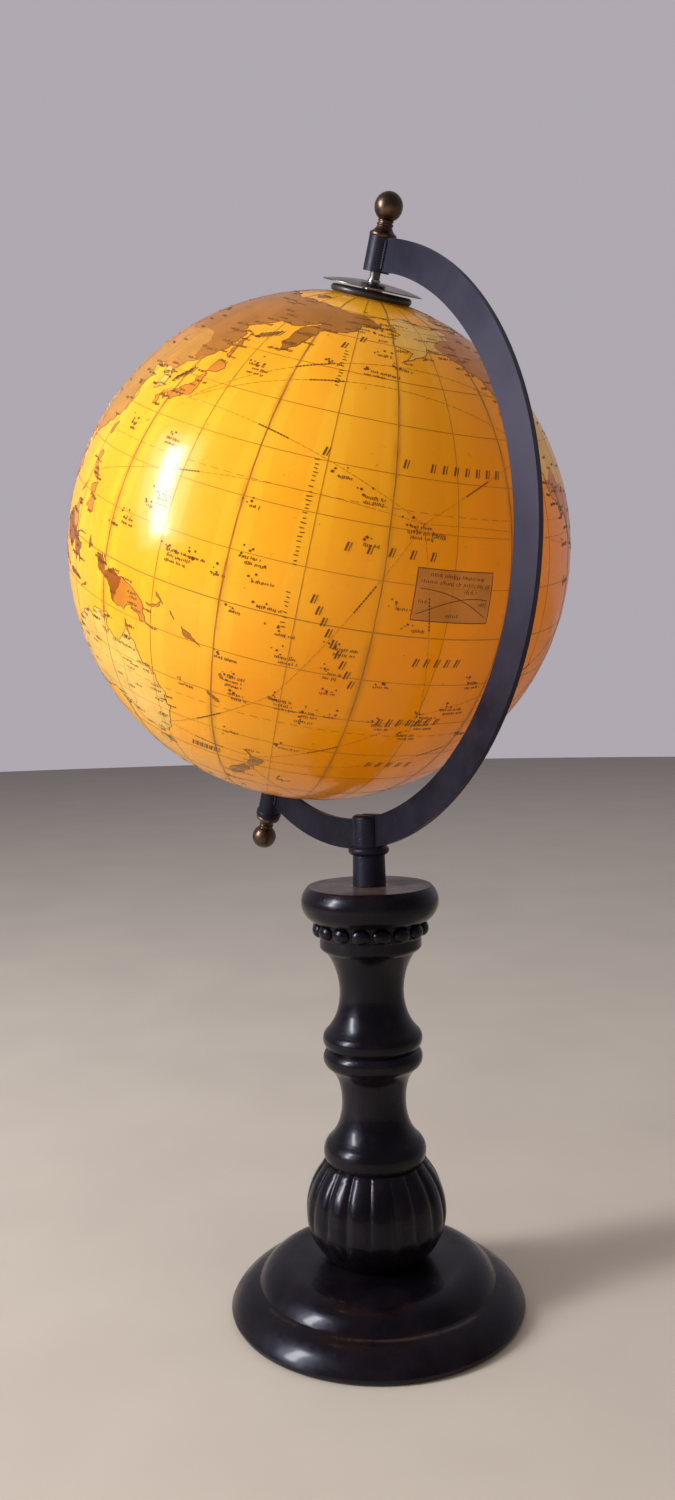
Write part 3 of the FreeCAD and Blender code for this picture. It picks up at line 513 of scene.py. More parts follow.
# Each country has one of the printed tints and one or more (latitude, longitude) middles; a
# border runs half way between the middles of neighbours.
COUNTRIES = [
    ("ochre", [(58, 34), (62, 46), (56, 50), (60, 60), (64, 72), (55.5, 83), (66, 90), (54, 96), (64, 108),
               (54.5, 112), (66, 125), (54.5, 124), (66, 142), (57, 134), (64, 155), (66, 170), (66, 185),
               (54, 159), (49, 138), (74, 95), (72, 110), (50, 143), (74, 56), (79.5, 98), (75, 142)]),
    ("cream", [(49, 60), (48, 68), (48, 78), (43, 60)]),
    ("salmon", [(46.5, 97), (46.5, 104), (47, 112)]),
    ("tan", [(42, 84), (36, 80), (33, 88), (36, 98), (42, 104), (28, 105), (33, 112), (41, 116), (27, 115),
             (46, 125), (43, 126), (49, 122), (19, 110)]),
    ("orange", [(36, 138), (40, 140), (43, 143), (32.5, 131), (33.5, 133.5), (34, 135)]),
    ("cream", [(37, 128)]),
    ("salmon", [(40.5, 127)]),
    ("orange", [(27, 74), (23, 79), (17, 78), (11, 77.5), (25, 85), (26.5, 94)]),
    ("cream", [(27, 66), (31.5, 72)]),
    ("salmon", [(34, 66)]),
    ("tan", [(35, 50), (32, 56), (28, 58)]),
    ("cream", [(25, 45), (20, 50), (27, 40)]),
    ("orange", [(16, 46)]),
    ("salmon", [(39, 34), (39, 41)]),
    ("ochre", [(33, 43)]),
    ("orange", [(34.5, 37.5)]),
    ("salmon", [(21, 96), (24, 97), (14, 99)]),
    ("cream", [(16, 101), (9, 99.5)]),
    ("orange", [(20, 103), (14, 108), (11, 106.5), (21.5, 105.5)]),
    ("tan", [(4, 102), (5.5, 117)]),
    ("brown", [(0, 101), (-4, 104), (-7, 110), (-1, 113), (-1, 120.5), (-4, 136), (-9, 124), (-8.5, 119),
               (0.8, 128)]),
    ("orange", [(-6, 144), (-9, 148), (-5.5, 150.5), (-3.3, 151.8), (-6, 155)]),
    ("orange", [(16, 121), (12, 123.5), (7.5, 125), (10, 118.5)]),
    ("tan", [(23.6, 121)]),
    ("ochre", [(7.5, 80.8)]),
    ("cream", [(-20, 145), (-24, 147), (-31, 146), (-37, 144.5), (-42, 146.5)]),
    ("cream", [(-22, 134), (-30, 135), (-16, 133)]),
    ("cream", [(-25, 122), (-31, 118), (-19, 126)]),
    ("tan", [(-38.5, 176), (-43.5, 171)]),
    ("ochre", [(-9, 160), (-21, 165.5), (-15.6, 167), (-17.8, 178)]),
    ("cream", [(65, -153), (61, -158), (69, -157), (67, -146), (57.5, -154)]),
    ("salmon", [(64, -132), (54, -124), (56, -112), (66, -112), (62, -100), (53, -100), (51, -88),
                (55, -75), (48, -68), (53, -62), (71, -112), (70, -78), (73, -121), (79, -82), (66, -90)]),
    ("cream", [(44, -118), (37, -118), (40, -106), (33, -104), (44, -95), (35, -92), (41, -80), (33, -84),
               (43, -73), (28, -81.5), (20.5, -156)]),
    ("orange", [(27, -107), (22, -101), (17.5, -95), (20, -89), (27.5, -113)]),
    ("tan", [(15.2, -90.5), (14, -86.5)]),
    ("salmon", [(11, -84.5), (8.6, -80.5)]),
    ("ochre", [(21.8, -79)]),
    ("orange", [(18.8, -71)]),
    ("orange", [(4, -73)]),
    ("cream", [(7, -66)]),
    ("tan", [(4.6, -57)]),
    ("ochre", [(-4, -65), (-4, -53), (-10, -56), (-9, -43), (-16, -50), (-18, -43), (-27, -52), (-9, -68)]),
    ("salmon", [(-6, -76.5), (-13, -73.5)]),
    ("tan", [(-1.2, -78.5)]),
    ("cream", [(-17, -65)]),
    ("tan", [(-23.5, -58.5)]),
    ("salmon", [(-22, -69.6), (-30, -70.8), (-38, -72.6), (-47, -74), (-53.5, -72)]),
    ("cream", [(-26, -65), (-32, -62), (-38, -65), (-46, -69.5)]),
    ("orange", [(-33, -56)]),
    ("cream", [(65, -42), (72, -42), (79, -42)]),
    ("tan", [(40, -4)]),
    ("salmon", [(46.5, 2.5)]),
    ("orange", [(51, 10)]),
    ("cream", [(43.5, 11.5), (40.5, 16)]),
    ("cream", [(52, 19.5)]),
    ("salmon", [(49, 31), (53.5, 28)]),
    ("tan", [(45.5, 25)]),
    ("ochre", [(43.8, 19)]),
    ("orange", [(39.8, 22)]),
    ("cream", [(47.3, 16)]),
    ("ochre", [(61.5, 9), (66.5, 14)]),
    ("salmon", [(60, 15), (65, 18)]),
    ("tan", [(63, 27), (67, 26.5)]),
    ("orange", [(53, -1.5), (56.5, -4)]),
    ("tan", [(53, -8)]),
    ("ochre", [(65, -18.5)]),
    ("orange", [(32, -6.5)]),
    ("cream", [(33, 3), (27, 3)]),
    ("salmon", [(27, 17), (32, 12)]),
    ("tan", [(27, 29)]),
    ("ochre", [(20, -11)]),
    ("orange", [(17, -1.5)]),
    ("tan", [(17, 9.5)]),
    ("cream", [(15, 18.5)]),
    ("salmon", [(17, 29), (8, 30)]),
    ("ochre", [(9, 40), (15, 38.5)]),
    ("orange", [(4, 46.5), (10, 48)]),
    ("cream", [(1, 37.5)]),
    ("tan", [(-6, 35)]),
    ("orange", [(9.5, 8)]),
    ("salmon", [(8, 0)]),
    ("cream", [(7.5, -6)]),
    ("tan", [(12.5, -14)]),
    ("ochre", [(5, 12.5), (6.5, 21)]),
    ("salmon", [(-1, 15), (-1, 11.5)]),
    ("cream", [(-2, 23.5), (-8, 25), (1, 27)]),
    ("orange", [(-12, 17.5)]),
    ("ochre", [(-14.5, 28)]),
    ("salmon", [(-14, 38), (-21, 34)]),
    ("tan", [(-19.5, 29.5)]),
    ("cream", [(-22.5, 24)]),
    ("tan", [(-22, 17)]),
    ("orange", [(-30, 24), (-26, 29)]),
    ("salmon", [(-19.5, 46.5)]),
    ("cream", [(-75, 0), (-75, 90), (-75, 180), (-80, -90), (-66, -62)]),
]

# Island groups: (latitude, longitude, rows of small print beside them, length of a row in mm).
ISLANDS = [
    (7.4, 134.5, 1, 7), (13.5, 144.8, 1, 6), (16.5, 146, 3, 9), (7, 152, 3, 16), (9.5, 139, 2, 8),
    (10, 168, 2, 13), (6, 171, 1, 8), (19.3, 166.6, 1, 5), (1.5, 173, 1, 13), (-0.8, 166.9, 1, 5),
    (-3, 176.5, 1, 8), (-7.5, 178, 2, 9), (-10.8, 166, 1, 11), (-14.5, 168.5, 3, 8), (-18.5, 169.3, 2, 7),
    (-17.3, 179, 3, 9), (-13.5, -171.5, 1, 9), (-19, -175, 2, 7), (-21.5, -175.5, 1, 9),
    (-19.2, -169.8, 1, 5), (-3.6, -172, 2, 12), (-9, -171.8, 2, 8), (-10.5, -161.5, 1, 8),
    (-20, -158.5, 2, 9), (-22.5, -152, 2, 10), (-17.5, -149.5, 4, 9), (-15.5, -144, 2, 12),
    (-9, -140, 2, 9), (-23.2, -135, 1, 10), (-25.1, -130, 1, 7), (2, -157.4, 1, 7), (6, -162, 1, 8),
    (16.8, -169.5, 1, 7), (28.3, -177.4, 1, 8), (25.5, -171, 2, 9), (21.5, -160.5, 3, 12),
    (-29.3, 168, 1, 7), (-30.5, -178.5, 1, 9), (-44, -176.5, 1, 8), (-50, 166, 1, 8), (-20, 157, 1, 9),
    (47, 152.5, 3, 9), (52, 173, 1, 8), (52, -174, 2, 13), (54, -166, 1, 9), (27, 128, 2, 6),
    (27, 142, 2, 8), (57, -170, 1, 8), (63.5, -171, 1, 9), (-27, -109, 1, 8), (-0.5, -91, 2, 11),
    (10.3, -109, 1, 8), (18.5, -111, 1, 8), (-33.7, -80, 1, 9), (32.4, -64.8, 1, 7), (38.5, -28, 2, 7),
    (32.8, -17, 1, 6), (28.2, -15.6, 2, 6), (15.5, -24, 1, 9), (-8, -14.4, 1, 7), (-16, -5.7, 1, 7),
    (-37.1, -12.3, 1, 10), (-51.8, -59.5, 2, 8), (-54.4, -36.8, 1, 9), (14, -61, 3, 6), (24.5, -76, 2, 7),
    (62, -7, 1, 6), (39.5, 3, 1, 6), (39.9, 9, 1, 5), (37.6, 14.2, 1, 5), (35.2, 25, 1, 5), (35, 33, 1, 5),
    (-4.5, 55.5, 1, 8), (-12, 44, 1, 7), (-20.3, 57.6, 2, 7), (4, 73.2, 1, 7), (-7, 72, 1, 8),
    (11.5, 92.8, 2, 7), (-12.2, 96.8, 1, 7), (-10.5, 105.6, 1, 8), (-38, 77.5, 1, 8), (-49.3, 69.5, 1, 9),
    (-46.6, 37.8, 1, 8), (-53.1, 73.5, 1, 6), (7, 158.2, 1, 8), (5.3, 163, 1, 7), (-21, 55.5, 1, 5),
]

# Rows of slanting strokes that stand for the widely spaced names of oceans:
# (latitude and longitude of the first and of the last stroke, number of strokes).
OCEAN_ROWS = [
    ((31.8, 179), (32.3, -163), 5), ((32.2, -156.5), (32.4, -138.5), 7), ((15.2, -173), (15.6, -155.5), 5),
    ((-5.2, -155), (-5.1, -145.5), 5), ((-19.8, -158.5), (-19.4, -144.5), 7),
    ((-33.4, -155.5), (-33.6, -143.8), 5), ((4.5, -177.5), (-11.5, -167), 9), ((35, -60), (33, -42), 5),
    ((26, -55), (26, -35), 8), ((-12, -28), (-12, -12), 5), ((-22, -28), (-22, -4), 8),
    ((-20, 66), (-20, 88), 6), ((-30, 70), (-30, 86), 5), ((60, -178), (57, 176), 6),
    ((-55, 120), (-55, 170), 8), ((24, -93), (24, -86), 6), ((12, 63), (14, 68), 6),
    ((38, 132), (41, 135.5), 5), ((54, 146), (56, 152), 6), ((-38, 158), (-38, 165), 6),
]

# Shipping lines across the oceans, each from one harbour to another.
ROUTES = [
    ((35, 141), (38, -123)), ((35, 141), (21.4, -158)), ((35, 141), (48.4, -125)),
    ((21.4, -158), (37.6, -123)), ((21.4, -158), (-17.6, 178)), ((21.4, -158), (-17.5, -149.6)),
    ((21.4, -158), (8.8, -79.6)), ((14, 121), (21.4, -158)), ((-36.8, 175), (-17.5, -149.6)),
    ((-36.8, 175), (8.5, -80)), ((-33.8, 151.5), (-36.5, 174)), ((-33.8, 151.5), (-17.6, 177.5)),
    ((-17.5, -149.6), (8.5, -80)), ((-41, 175), (-55.5, -68)), ((40.5, -73), (50, -6)),
    ((40.5, -73), (36, -6.5)), ((25, -80), (36, -6.5)), ((-34, 18), (-22.8, -42)),
    ((-34, 18), (14.5, -17.6)), ((-34, 20), (-32, 115.5)), ((6, 80.5), (-32, 115.5)),
    ((12.5, 45), (6, 80)), ((6, 81), (5.8, 95)), ((-34.9, -56.5), (14.5, -18)), ((60, -43), (51, 1.6)),
]


# ---------------------------------------------------------------- the printed ball

SPIN = next(joint for joint in frame["joints"] if joint["name"] == "globe_spin")
BALL_CENTRE = Vector(SPIN["pos_m"])
BALL_RADIUS = 152.4 * MM
# The ball's own directions: its north pole, the side towards the half ring, and across both.
NORTH = Vector(SPIN["axis"]).normalized()
OUTWARD = Vector((0, 1, 0)).cross(NORTH)
SIDEWAYS = NORTH.cross(OUTWARD)
# Longitude of the half ring when the ball is at rest, so that the wide ocean faces the room.
BOW_LONGITUDE = -144.7
# Seed of every random draw and of the noise that bends the borders.
SEED = 12
LAND_TINTS = ("ochre", "cream", "salmon", "tan", "orange", "brown")
# Heights of the printed layers above the ball, and how far each one is let into it.
LAND_TOP = 0.05 * MM
LINE_TOP = 0.10 * MM
INK_TOP = 0.12 * MM
SUNK = 0.12 * MM
# Widths of the printed lines.
SHORE_WIDTH = 0.40 * MM
BORDER_WIDTH = 0.30 * MM
GRID_WIDTH = 0.34 * MM
EQUATOR_WIDTH = 0.60 * MM
CIRCLE_WIDTH = 0.30 * MM
SEAM_WIDTH = 0.52 * MM
ROUTE_WIDTH = 0.24 * MM
ROUTE_NAME_WIDTH = 0.75 * MM
FRAME_WIDTH = 0.50 * MM
CURVE_WIDTH = 0.45 * MM
# Latitudes where the meridians stop, under the pole cap and the south sleeve.
GRID_NORTH_END = 81.0
GRID_SOUTH_END = -87.5
# Where print runs up beside the date line: its longitude, and the latitudes of each stretch.
DATE_LINE_PRINT = 178.2
DATE_LINE_STRETCHES = [(-2, 6), (10, 31), (46, 56)]
# The printed paper is in twelve gores; the longitude, in degrees, where the first one begins.
GORES = 12
FIRST_GORE = 15
# Length of a dash and its gap on a shipping line.
ROUTE_STEP = 3.6 * MM
# Longest step along a shore, how far it wanders, and the spacing of the points inside it.
SHORE_STEP = 1.6 * MM
SHORE_WANDER = 0.11
FIELD_STEP = 3.6 * MM
FIELD_ROW = 0.866 * FIELD_STEP
# The triangulation keeps what lies inside the shore and merges points closer than this.
KEEP_INSIDE = 1
MERGE_WITHIN = 1e-6
# Share of the land's triangles that hold a town, and shore points from one name to the next.
TOWN_SHARE = 0.028
NAME_EVERY = 9
DOT_SIDES = 7
# The tinted panel, in degrees.
PANEL_NORTH = 13.4
PANEL_SOUTH = 3.4
PANEL_WEST = -158.2
PANEL_EAST = -140.4
PANEL_CELLS = (12, 8)
# Lines of small print on the panel: where each begins, as shares across and up, and its length in mm.
PANEL_ROWS = [(0.16, 0.86, 34), (0.06, 0.73, 43), (0.62, 0.58, 8), (0.06, 0.34, 5), (0.42, 0.1, 8),
              (0.84, 0.34, 5)]


def direction(latitude, longitude):
    """Unit vector from the ball's centre towards a place."""
    lat = math.radians(latitude)
    lon = math.radians(longitude - BOW_LONGITUDE)
    across = OUTWARD * math.cos(lon) + SIDEWAYS * math.sin(lon)
    return across * math.cos(lat) + NORTH * math.sin(lat)


class Print:
    """Thin raised print on the ball, collected as one mesh."""

    def __init__(self):
        self.directions = []
        self.heights = []
        self.faces = []

    def corner(self, way, height):
        """Add a corner at a height above the ball, and give its number."""
        self.directions.append(way)
        self.heights.append(height)
        return len(self.directions) - 1

    def strip(self, path, width, top=LINE_TOP, closed=False):
        """A raised line of square section along unit vectors."""
        count = len(path)
        rings = []
        for k, here in enumerate(path):
            before = path[k - 1] if k or closed else here
            after = path[(k + 1) % count] if k < count - 1 or closed else here
            side = here.cross(after - before).normalized() * (width / 2 / BALL_RADIUS)
            left = (here + side).normalized()
            right = (here - side).normalized()
            rings.append([self.corner(left, -SUNK), self.corner(right, -SUNK),
                          self.corner(right, top), self.corner(left, top)])
        for k in range(count if closed else count - 1):
            near, far = rings[k], rings[(k + 1) % count]
            for side in range(4):
                nearby = (side + 1) % 4
                self.faces.append((near[side], far[side], far[nearby], near[nearby]))
        if not closed:
            self.faces.append(tuple(rings[0]))
            self.faces.append(tuple(reversed(rings[-1])))

    def patch(self, ways, triangles, top):
        """A raised area; its outer edges are closed down into the ball."""
        upper = [self.corner(way, top) for way in ways]
        lower = [self.corner(way, -SUNK) for way in ways]
        edges = {}
        for tri in triangles:
            self.faces.append(tuple(upper[i] for i in tri))
            self.faces.append(tuple(lower[i] for i in reversed(tri)))
            for a, b in zip(tri, tri[1:] + tri[:1]):
                edges[(a, b)] = (b, a) not in edges
                if (b, a) in edges:
                    edges[(b, a)] = False
        for (a, b), outer in edges.items():
            if outer:
                self.faces.append((upper[b], upper[a], lower[a], lower[b]))

    def finish(self, name, paint):
        """Make the piece, shaded as the round ball under it."""
        corners = [BALL_CENTRE + way * (BALL_RADIUS + height)
                   for way, height in zip(self.directions, self.heights)]
        return build_mesh(name, corners, self.faces, paint, "globe", self.directions)


def great_circle(first, last, step):
    """Unit vectors evenly spaced from one to another."""
    angle = first.angle(last)
    count = max(1, round(angle * BALL_RADIUS / step))
    path = []
    for k in range(count + 1):
        way = first * math.sin(angle * (1 - k / count)) + last * math.sin(angle * k / count)
        path.append(way.normalized())
    return path


def roughen(corners, chance):
    """A closed shore through the corners, broken up until its steps are short."""
    shore = list(corners)
    while True:
        grown = []
        for here, after in zip(shore, shore[1:] + shore[:1]):
            grown.append(here)
            gap = after - here
            if gap.length * BALL_RADIUS > SHORE_STEP:
                side = here.cross(gap)
                grown.append((here + gap / 2 + side * chance.gauss(0, SHORE_WANDER)).normalized())
        if len(grown) == len(shore):
            return grown
        shore = grown


def flat_basis(centre):
    """Two unit vectors square to a direction."""
    first = centre.orthogonal().normalized()
    return first, centre.cross(first)


def flatten(ways, centre, basis):
    """Equal-area map of unit vectors onto the plane square to the centre."""
    flat = []
    for way in ways:
        scale = math.sqrt(2 / max(1e-6, 1 + way.dot(centre)))
        flat.append(Vector((way.dot(basis[0]) * scale, way.dot(basis[1]) * scale)))
    return flat


def wrap(spot, centre, basis):
    """Back from the plane to a unit vector."""
    reach = spot.length_squared
    across = math.sqrt(max(0.0, 1 - reach / 4))
    return centre * (1 - reach / 2) + (basis[0] * spot.x + basis[1] * spot.y) * across


def inside(spot, loop):
    """Whether a flat point lies inside a flat loop."""
    within = False
    before = loop[-1]
    for here in loop:
        if (here.y > spot.y) != (before.y > spot.y):
            cut = here.x + (spot.y - here.y) * (before.x - here.x) / (before.y - here.y)
            if spot.x < cut:
                within = not within
        before = here
    return within


def crossings(loop, y):
    """Where a level line cuts a flat loop, from left to right."""
    cuts = []
    before = loop[-1]
    for here in loop:
        if (here.y > y) != (before.y > y):
            cuts.append(here.x + (y - here.y) * (before.x - here.x) / (before.y - here.y))
        before = here
    return sorted(cuts)


def fill_shore(shore, lakes):
    """Triangles over the land inside a shore, fine enough to follow the ball."""
    centre = sum(shore, Vector()).normalized()
    basis = flat_basis(centre)
    loops = [flatten(shore, centre, basis)]
    for lake in lakes:
        water = flatten(lake, centre, basis)
        if min(way.dot(centre) for way in lake) > 0 and inside(water[0], loops[0]):
            loops.append(water)
    spots = []
    edges = []
    for loop in loops:
        start = len(spots)
        spots.extend(loop)
        edges.extend((start + k, start + (k + 1) % len(loop)) for k in range(len(loop)))
    step = FIELD_STEP / BALL_RADIUS
    row_step = FIELD_ROW / BALL_RADIUS
    low_y = min(spot.y for spot in loops[0])
    high_y = max(spot.y for spot in loops[0])
    for row in range(int((high_y - low_y) / row_step) + 1):
        y = low_y + (row + 0.5) * row_step
        cuts = crossings(loops[0], y)
        for start, end in zip(cuts[::2], cuts[1::2]):
            count = int((end - start) / step)
            for k in range(count):
                spots.append(Vector((start + (k + 0.5) * (end - start) / count, y)))
    rim = list(range(len(loops[0])))
    spots, _, triangles, *_ = delaunay_2d_cdt(spots, edges, [rim], KEEP_INSIDE, MERGE_WITHIN)
    kept = []
    for tri in triangles:
        middle = sum((spots[i] for i in tri), Vector((0, 0))) / 3
        if not any(inside(middle, lake) for lake in loops[1:]):
            kept.append(tuple(tri))
    return [wrap(spot, centre, basis) for spot in spots], kept


COUNTRY_SEEDS = np.array([direction(*middle) for _, middles in COUNTRIES for middle in middles])
SEED_COUNTRY = np.array([k for k, (_, middles) in enumerate(COUNTRIES) for _ in middles])
# How far the borders wander, in broad waves and in finer, shallower ones.
BORDER_WANDER = 0.05
BROAD_WAVES = 9
FINE_WAVES = 31
FINE_SHARE = 0.3
# Times an edge is halved to find where a border crosses it.
BORDER_HALVINGS = 6


def country_of(ways):
    """Index of the country at each unit vector."""
    moved = []
    for way in ways:
        broad = noise.noise_vector(way * BROAD_WAVES) * BORDER_WANDER
        fine = noise.noise_vector(way * FINE_WAVES) * FINE_SHARE * BORDER_WANDER
        moved.append(way + broad + fine)
    nearness = np.array(moved) @ COUNTRY_SEEDS.T
    return SEED_COUNTRY[np.argmax(nearness, axis=1)]


def split_by_country(ways, triangles):
    """Cut triangles along the borders; gives corners, each country's faces and border segments."""
    ways = list(ways)
    label = list(country_of(ways))
    edge_ends = sorted({(min(a, b), max(a, b)) for tri in triangles
                        for a, b in zip(tri, tri[1:] + tri[:1]) if label[a] != label[b]})
    near = [ways[a] for a, b in edge_ends]
    far = [ways[b] for a, b in edge_ends]
    for _ in range(BORDER_HALVINGS):
        middle = [((a + b) / 2).normalized() for a, b in zip(near, far)]
        if not middle:
            break
        home = country_of(middle)
        for k, (a, b) in enumerate(edge_ends):
            if home[k] == label[a]:
                near[k] = middle[k]
            else:
                far[k] = middle[k]
    cut = {}
    for (a, b), way in zip(edge_ends, near):
        cut[(a, b)] = len(ways)
        ways.append(way)
    areas = {}
    borders = []

    def cut_between(a, b):
        return cut[(min(a, b), max(a, b))]

    for a, b, c in triangles:
        labels = (label[a], label[b], label[c])
        if labels[0] == labels[1] == labels[2]:
            areas.setdefault(labels[0], []).append((a, b, c))
        elif len(set(labels)) == 2:
            while labels[1] != labels[2]:
                a, b, c = b, c, a
                labels = labels[1:] + labels[:1]
            first, second = cut_between(a, b), cut_between(c, a)
            areas.setdefault(labels[0], []).append((a, first, second))
            areas.setdefault(labels[1], []).append((first, b, c, second))
            borders.append((first, second))
        else:
            hub = len(ways)
            cuts = (cut_between(a, b), cut_between(b, c), cut_between(c, a))
            ways.append(sum((ways[k] for k in cuts), Vector()).normalized())
            for k, corner in enumerate((a, b, c)):
                areas.setdefault(labels[k], []).append((corner, cuts[k], hub, cuts[k - 1]))
                borders.append((cuts[k], hub))
    return ways, areas, borders


def local_frame(way):
    """East and north at a place on the ball."""
    east = NORTH.cross(way).normalized()
    return east, way.cross(east)


def nudge(way, along, up, across_mm, up_mm):
    """A place a few millimetres off another one."""
    return (way * BALL_RADIUS + along * (across_mm * MM) + up * (up_mm * MM)).normalized()


def dot(ink, way, size_mm, chance):
    """A small island or town mark: an uneven little disc."""
    east, north = local_frame(way)
    ring = []
    for k in range(DOT_SIDES):
        angle = 2 * math.pi * k / DOT_SIDES
        reach = size_mm * chance.uniform(0.75, 1.25)
        ring.append(nudge(way, east, north, reach * math.cos(angle), reach * math.sin(angle)))
    ink.patch(ring, [tuple(range(DOT_SIDES))], INK_TOP)


def write_row(ink, way, along, up, length_mm, chance, tall_mm=1.5, pitch_mm=0.95, stroke_mm=0.42):
    """A row of short strokes in word-like groups that stands for a line of small print."""
    across = 0.0
    left = chance.randint(4, 9)
    while across < length_mm:
        if left:
            foot = chance.choice((0.0, 0.0, 0.0, -0.3)) * tall_mm
            head = chance.choice((0.7, 0.7, 1.0)) * tall_mm
            lean = chance.uniform(-0.15, 0.25) * tall_mm
            path = [nudge(way, along, up, across, foot), nudge(way, along, up, across + lean, head)]
            ink.strip(path, stroke_mm * MM, INK_TOP)
            left -= 1
            across += pitch_mm * chance.uniform(0.85, 1.2)
        else:
            left = chance.randint(3, 9)
            across += pitch_mm


def build_land(paints, chance):
    """Tinted countries, their shores and borders, towns and the small print on and round them."""
    tints = {name: Print() for name in paints}
    shores = Print()
    borders = Print()
    ink = Print()
    *lakes, south_hole = [roughen([direction(*corner) for corner in lake], chance) for lake in LAKES]
    for lake in lakes:
        shores.strip(lake, SHORE_WIDTH, closed=True)
    for corners in SHORES.values():
        shore = roughen([direction(*corner) for corner in corners], chance)
        shores.strip(shore, SHORE_WIDTH, closed=True)
        ways, triangles = fill_shore(shore, [*lakes, south_hole])
        ways, areas, segments = split_by_country(ways, triangles)
        for country, faces in areas.items():
            used = sorted({k for face in faces for k in face})
            order = {k: place for place, k in enumerate(used)}
            renumbered = [tuple(order[k] for k in face) for face in faces]
            tints[COUNTRIES[country][0]].patch([ways[k] for k in used], renumbered, LAND_TOP)
        for a, b in segments:
            borders.strip([ways[a], ways[b]], BORDER_WIDTH)
        name_shore(ink, shore, chance)
        mark_towns(ink, ways, triangles, chance)
    for tint, collected in tints.items():
        collected.finish("map_land_" + tint, paints[tint])
    return shores, borders, ink


def name_shore(ink, shore, chance):
    """Small print out at sea along a shore."""
    for k in range(0, len(shore), NAME_EVERY):
        east, north = local_frame(shore[k])
        after = shore[(k + 2) % len(shore)]
        outward = (after - shore[k - 2]).cross(shore[k]).normalized()
        if len(shore) < 3 * NAME_EVERY or abs(outward.dot(east)) < 0.35:
            continue
        length = chance.uniform(4, 9)
        shift = 1.4 if outward.dot(east) > 0 else -1.4 - length
        write_row(ink, nudge(shore[k], east, north, shift, -0.6), east, north, length, chance)


def mark_towns(ink, ways, triangles, chance):
    """Towns scattered over the land, each with a line of small print."""
    for tri in triangles:
        if chance.random() < TOWN_SHARE:
            way = ways[tri[0]]
            east, north = local_frame(way)
            dot(ink, way, 0.45, chance)
            beside = nudge(way, east, north, 1.2, -0.5)
            write_row(ink, beside, east, north, chance.uniform(3, 7), chance)


def build_islands(ink, chance):
    """Specks for the island groups, with their small print."""
    for latitude, longitude, rows, length in ISLANDS:
        way = direction(latitude, longitude)
        east, north = local_frame(way)
        for _ in range(3 + rows):
            speck = nudge(way, east, north, chance.gauss(0, 2.6), chance.gauss(0, 1.8))
            dot(ink, speck, chance.uniform(0.35, 0.8), chance)
        for row in range(rows):
            start = nudge(way, east, north, 1.5 - chance.uniform(0, 4), -2.6 - 2.7 * row)
            write_row(ink, start, east, north, length * chance.uniform(0.8, 1.25), chance)


def build_ocean_rows(ink):
    """Widely spaced pairs of slanting strokes, one bold and one fine, in place of the oceans' names."""
    for (lat_a, lon_a), (lat_b, lon_b), count in OCEAN_ROWS:
        for k in range(count):
            share = k / (count - 1)
            way = direction(lat_a + (lat_b - lat_a) * share, lon_a + (lon_b - lon_a) * share)
            east, north = local_frame(way)
            for across, width in ((0.0, 0.95), (1.7, 0.45)):
                foot = nudge(way, east, north, across - 0.6, -2.3)
                head = nudge(way, east, north, across + 0.6, 2.3)
                ink.strip([foot, head], width * MM, INK_TOP)


def meridian_steps(count):
    """Latitudes evenly spaced along a meridian, from its south end to its north end."""
    return [GRID_SOUTH_END + k * (GRID_NORTH_END - GRID_SOUTH_END) / count for k in range(count + 1)]


def build_graticule():
    """Parallels every ten degrees, meridians every fifteen, the tropics and the polar circles."""
    lines = Print()
    turn = [k * 2.5 for k in range(144)]
    for latitude in range(-80, 90, 10):
        width = EQUATOR_WIDTH if latitude == 0 else GRID_WIDTH
        lines.strip([direction(latitude, lon) for lon in turn], width, closed=True)
    for latitude in (-66.5, -23.5, 23.5, 66.5):
        for lon in range(0, 360, 3):
            lines.strip([direction(latitude, lon), direction(latitude, lon + 1.8)], CIRCLE_WIDTH)
    for longitude in range(0, 360, 15):
        lines.strip([direction(lat, longitude) for lat in meridian_steps(70)], GRID_WIDTH)
    return lines


def build_seams(chance):
    """Where the printed gores meet: slightly wandering darker lines from pole to pole."""
    seams = Print()
    for longitude in range(FIRST_GORE, 360, 360 // GORES):
        wander = 0.0
        path = []
        for lat in meridian_steps(110):
            wander = 0.9 * wander + chance.gauss(0, 0.10)
            way = direction(lat, longitude)
            east, north = local_frame(way)
            path.append(nudge(way, east, north, wander, 0))
        seams.strip(path, SEAM_WIDTH)
    return seams


def build_routes(ink):
    """Shipping lines as fine dashes, with a bolder row of dashes where each line's name would be."""
    lines = Print()
    for first, last in ROUTES:
        path = great_circle(direction(*first), direction(*last), ROUTE_STEP)
        for here, after in zip(path, path[1:]):
            gap = (after - here) * 0.22
            lines.strip([here, (after - gap).normalized()], ROUTE_WIDTH)
        named = len(path) // 3
        for here, after in zip(path[named:named + 5], path[named + 1:named + 6]):
            for share in (0.05, 0.55):
                start = here.lerp(after, share)
                stop = here.lerp(after, share + 0.36)
                ink.strip([start.normalized(), stop.normalized()], ROUTE_NAME_WIDTH, INK_TOP)
    return lines


def build_date_line(ink, chance):
    """Print running up beside the date line."""
    for start, stop in DATE_LINE_STRETCHES:
        reach = math.radians(stop - start) * BALL_RADIUS / MM
        pieces = max(1, round(reach / 14))
        for k in range(pieces):
            here = direction(start + (stop - start) * k / pieces, DATE_LINE_PRINT)
            east, north = local_frame(here)
            write_row(ink, here, north, -east, reach / pieces - 1.5, chance, 2.3, 2.2, 0.5)


def panel_spot(x, y):
    """Place on the panel, given as shares of its width and of its height."""
    return direction(PANEL_SOUTH + (PANEL_NORTH - PANEL_SOUTH) * y,
                     PANEL_WEST + (PANEL_EAST - PANEL_WEST) * x)


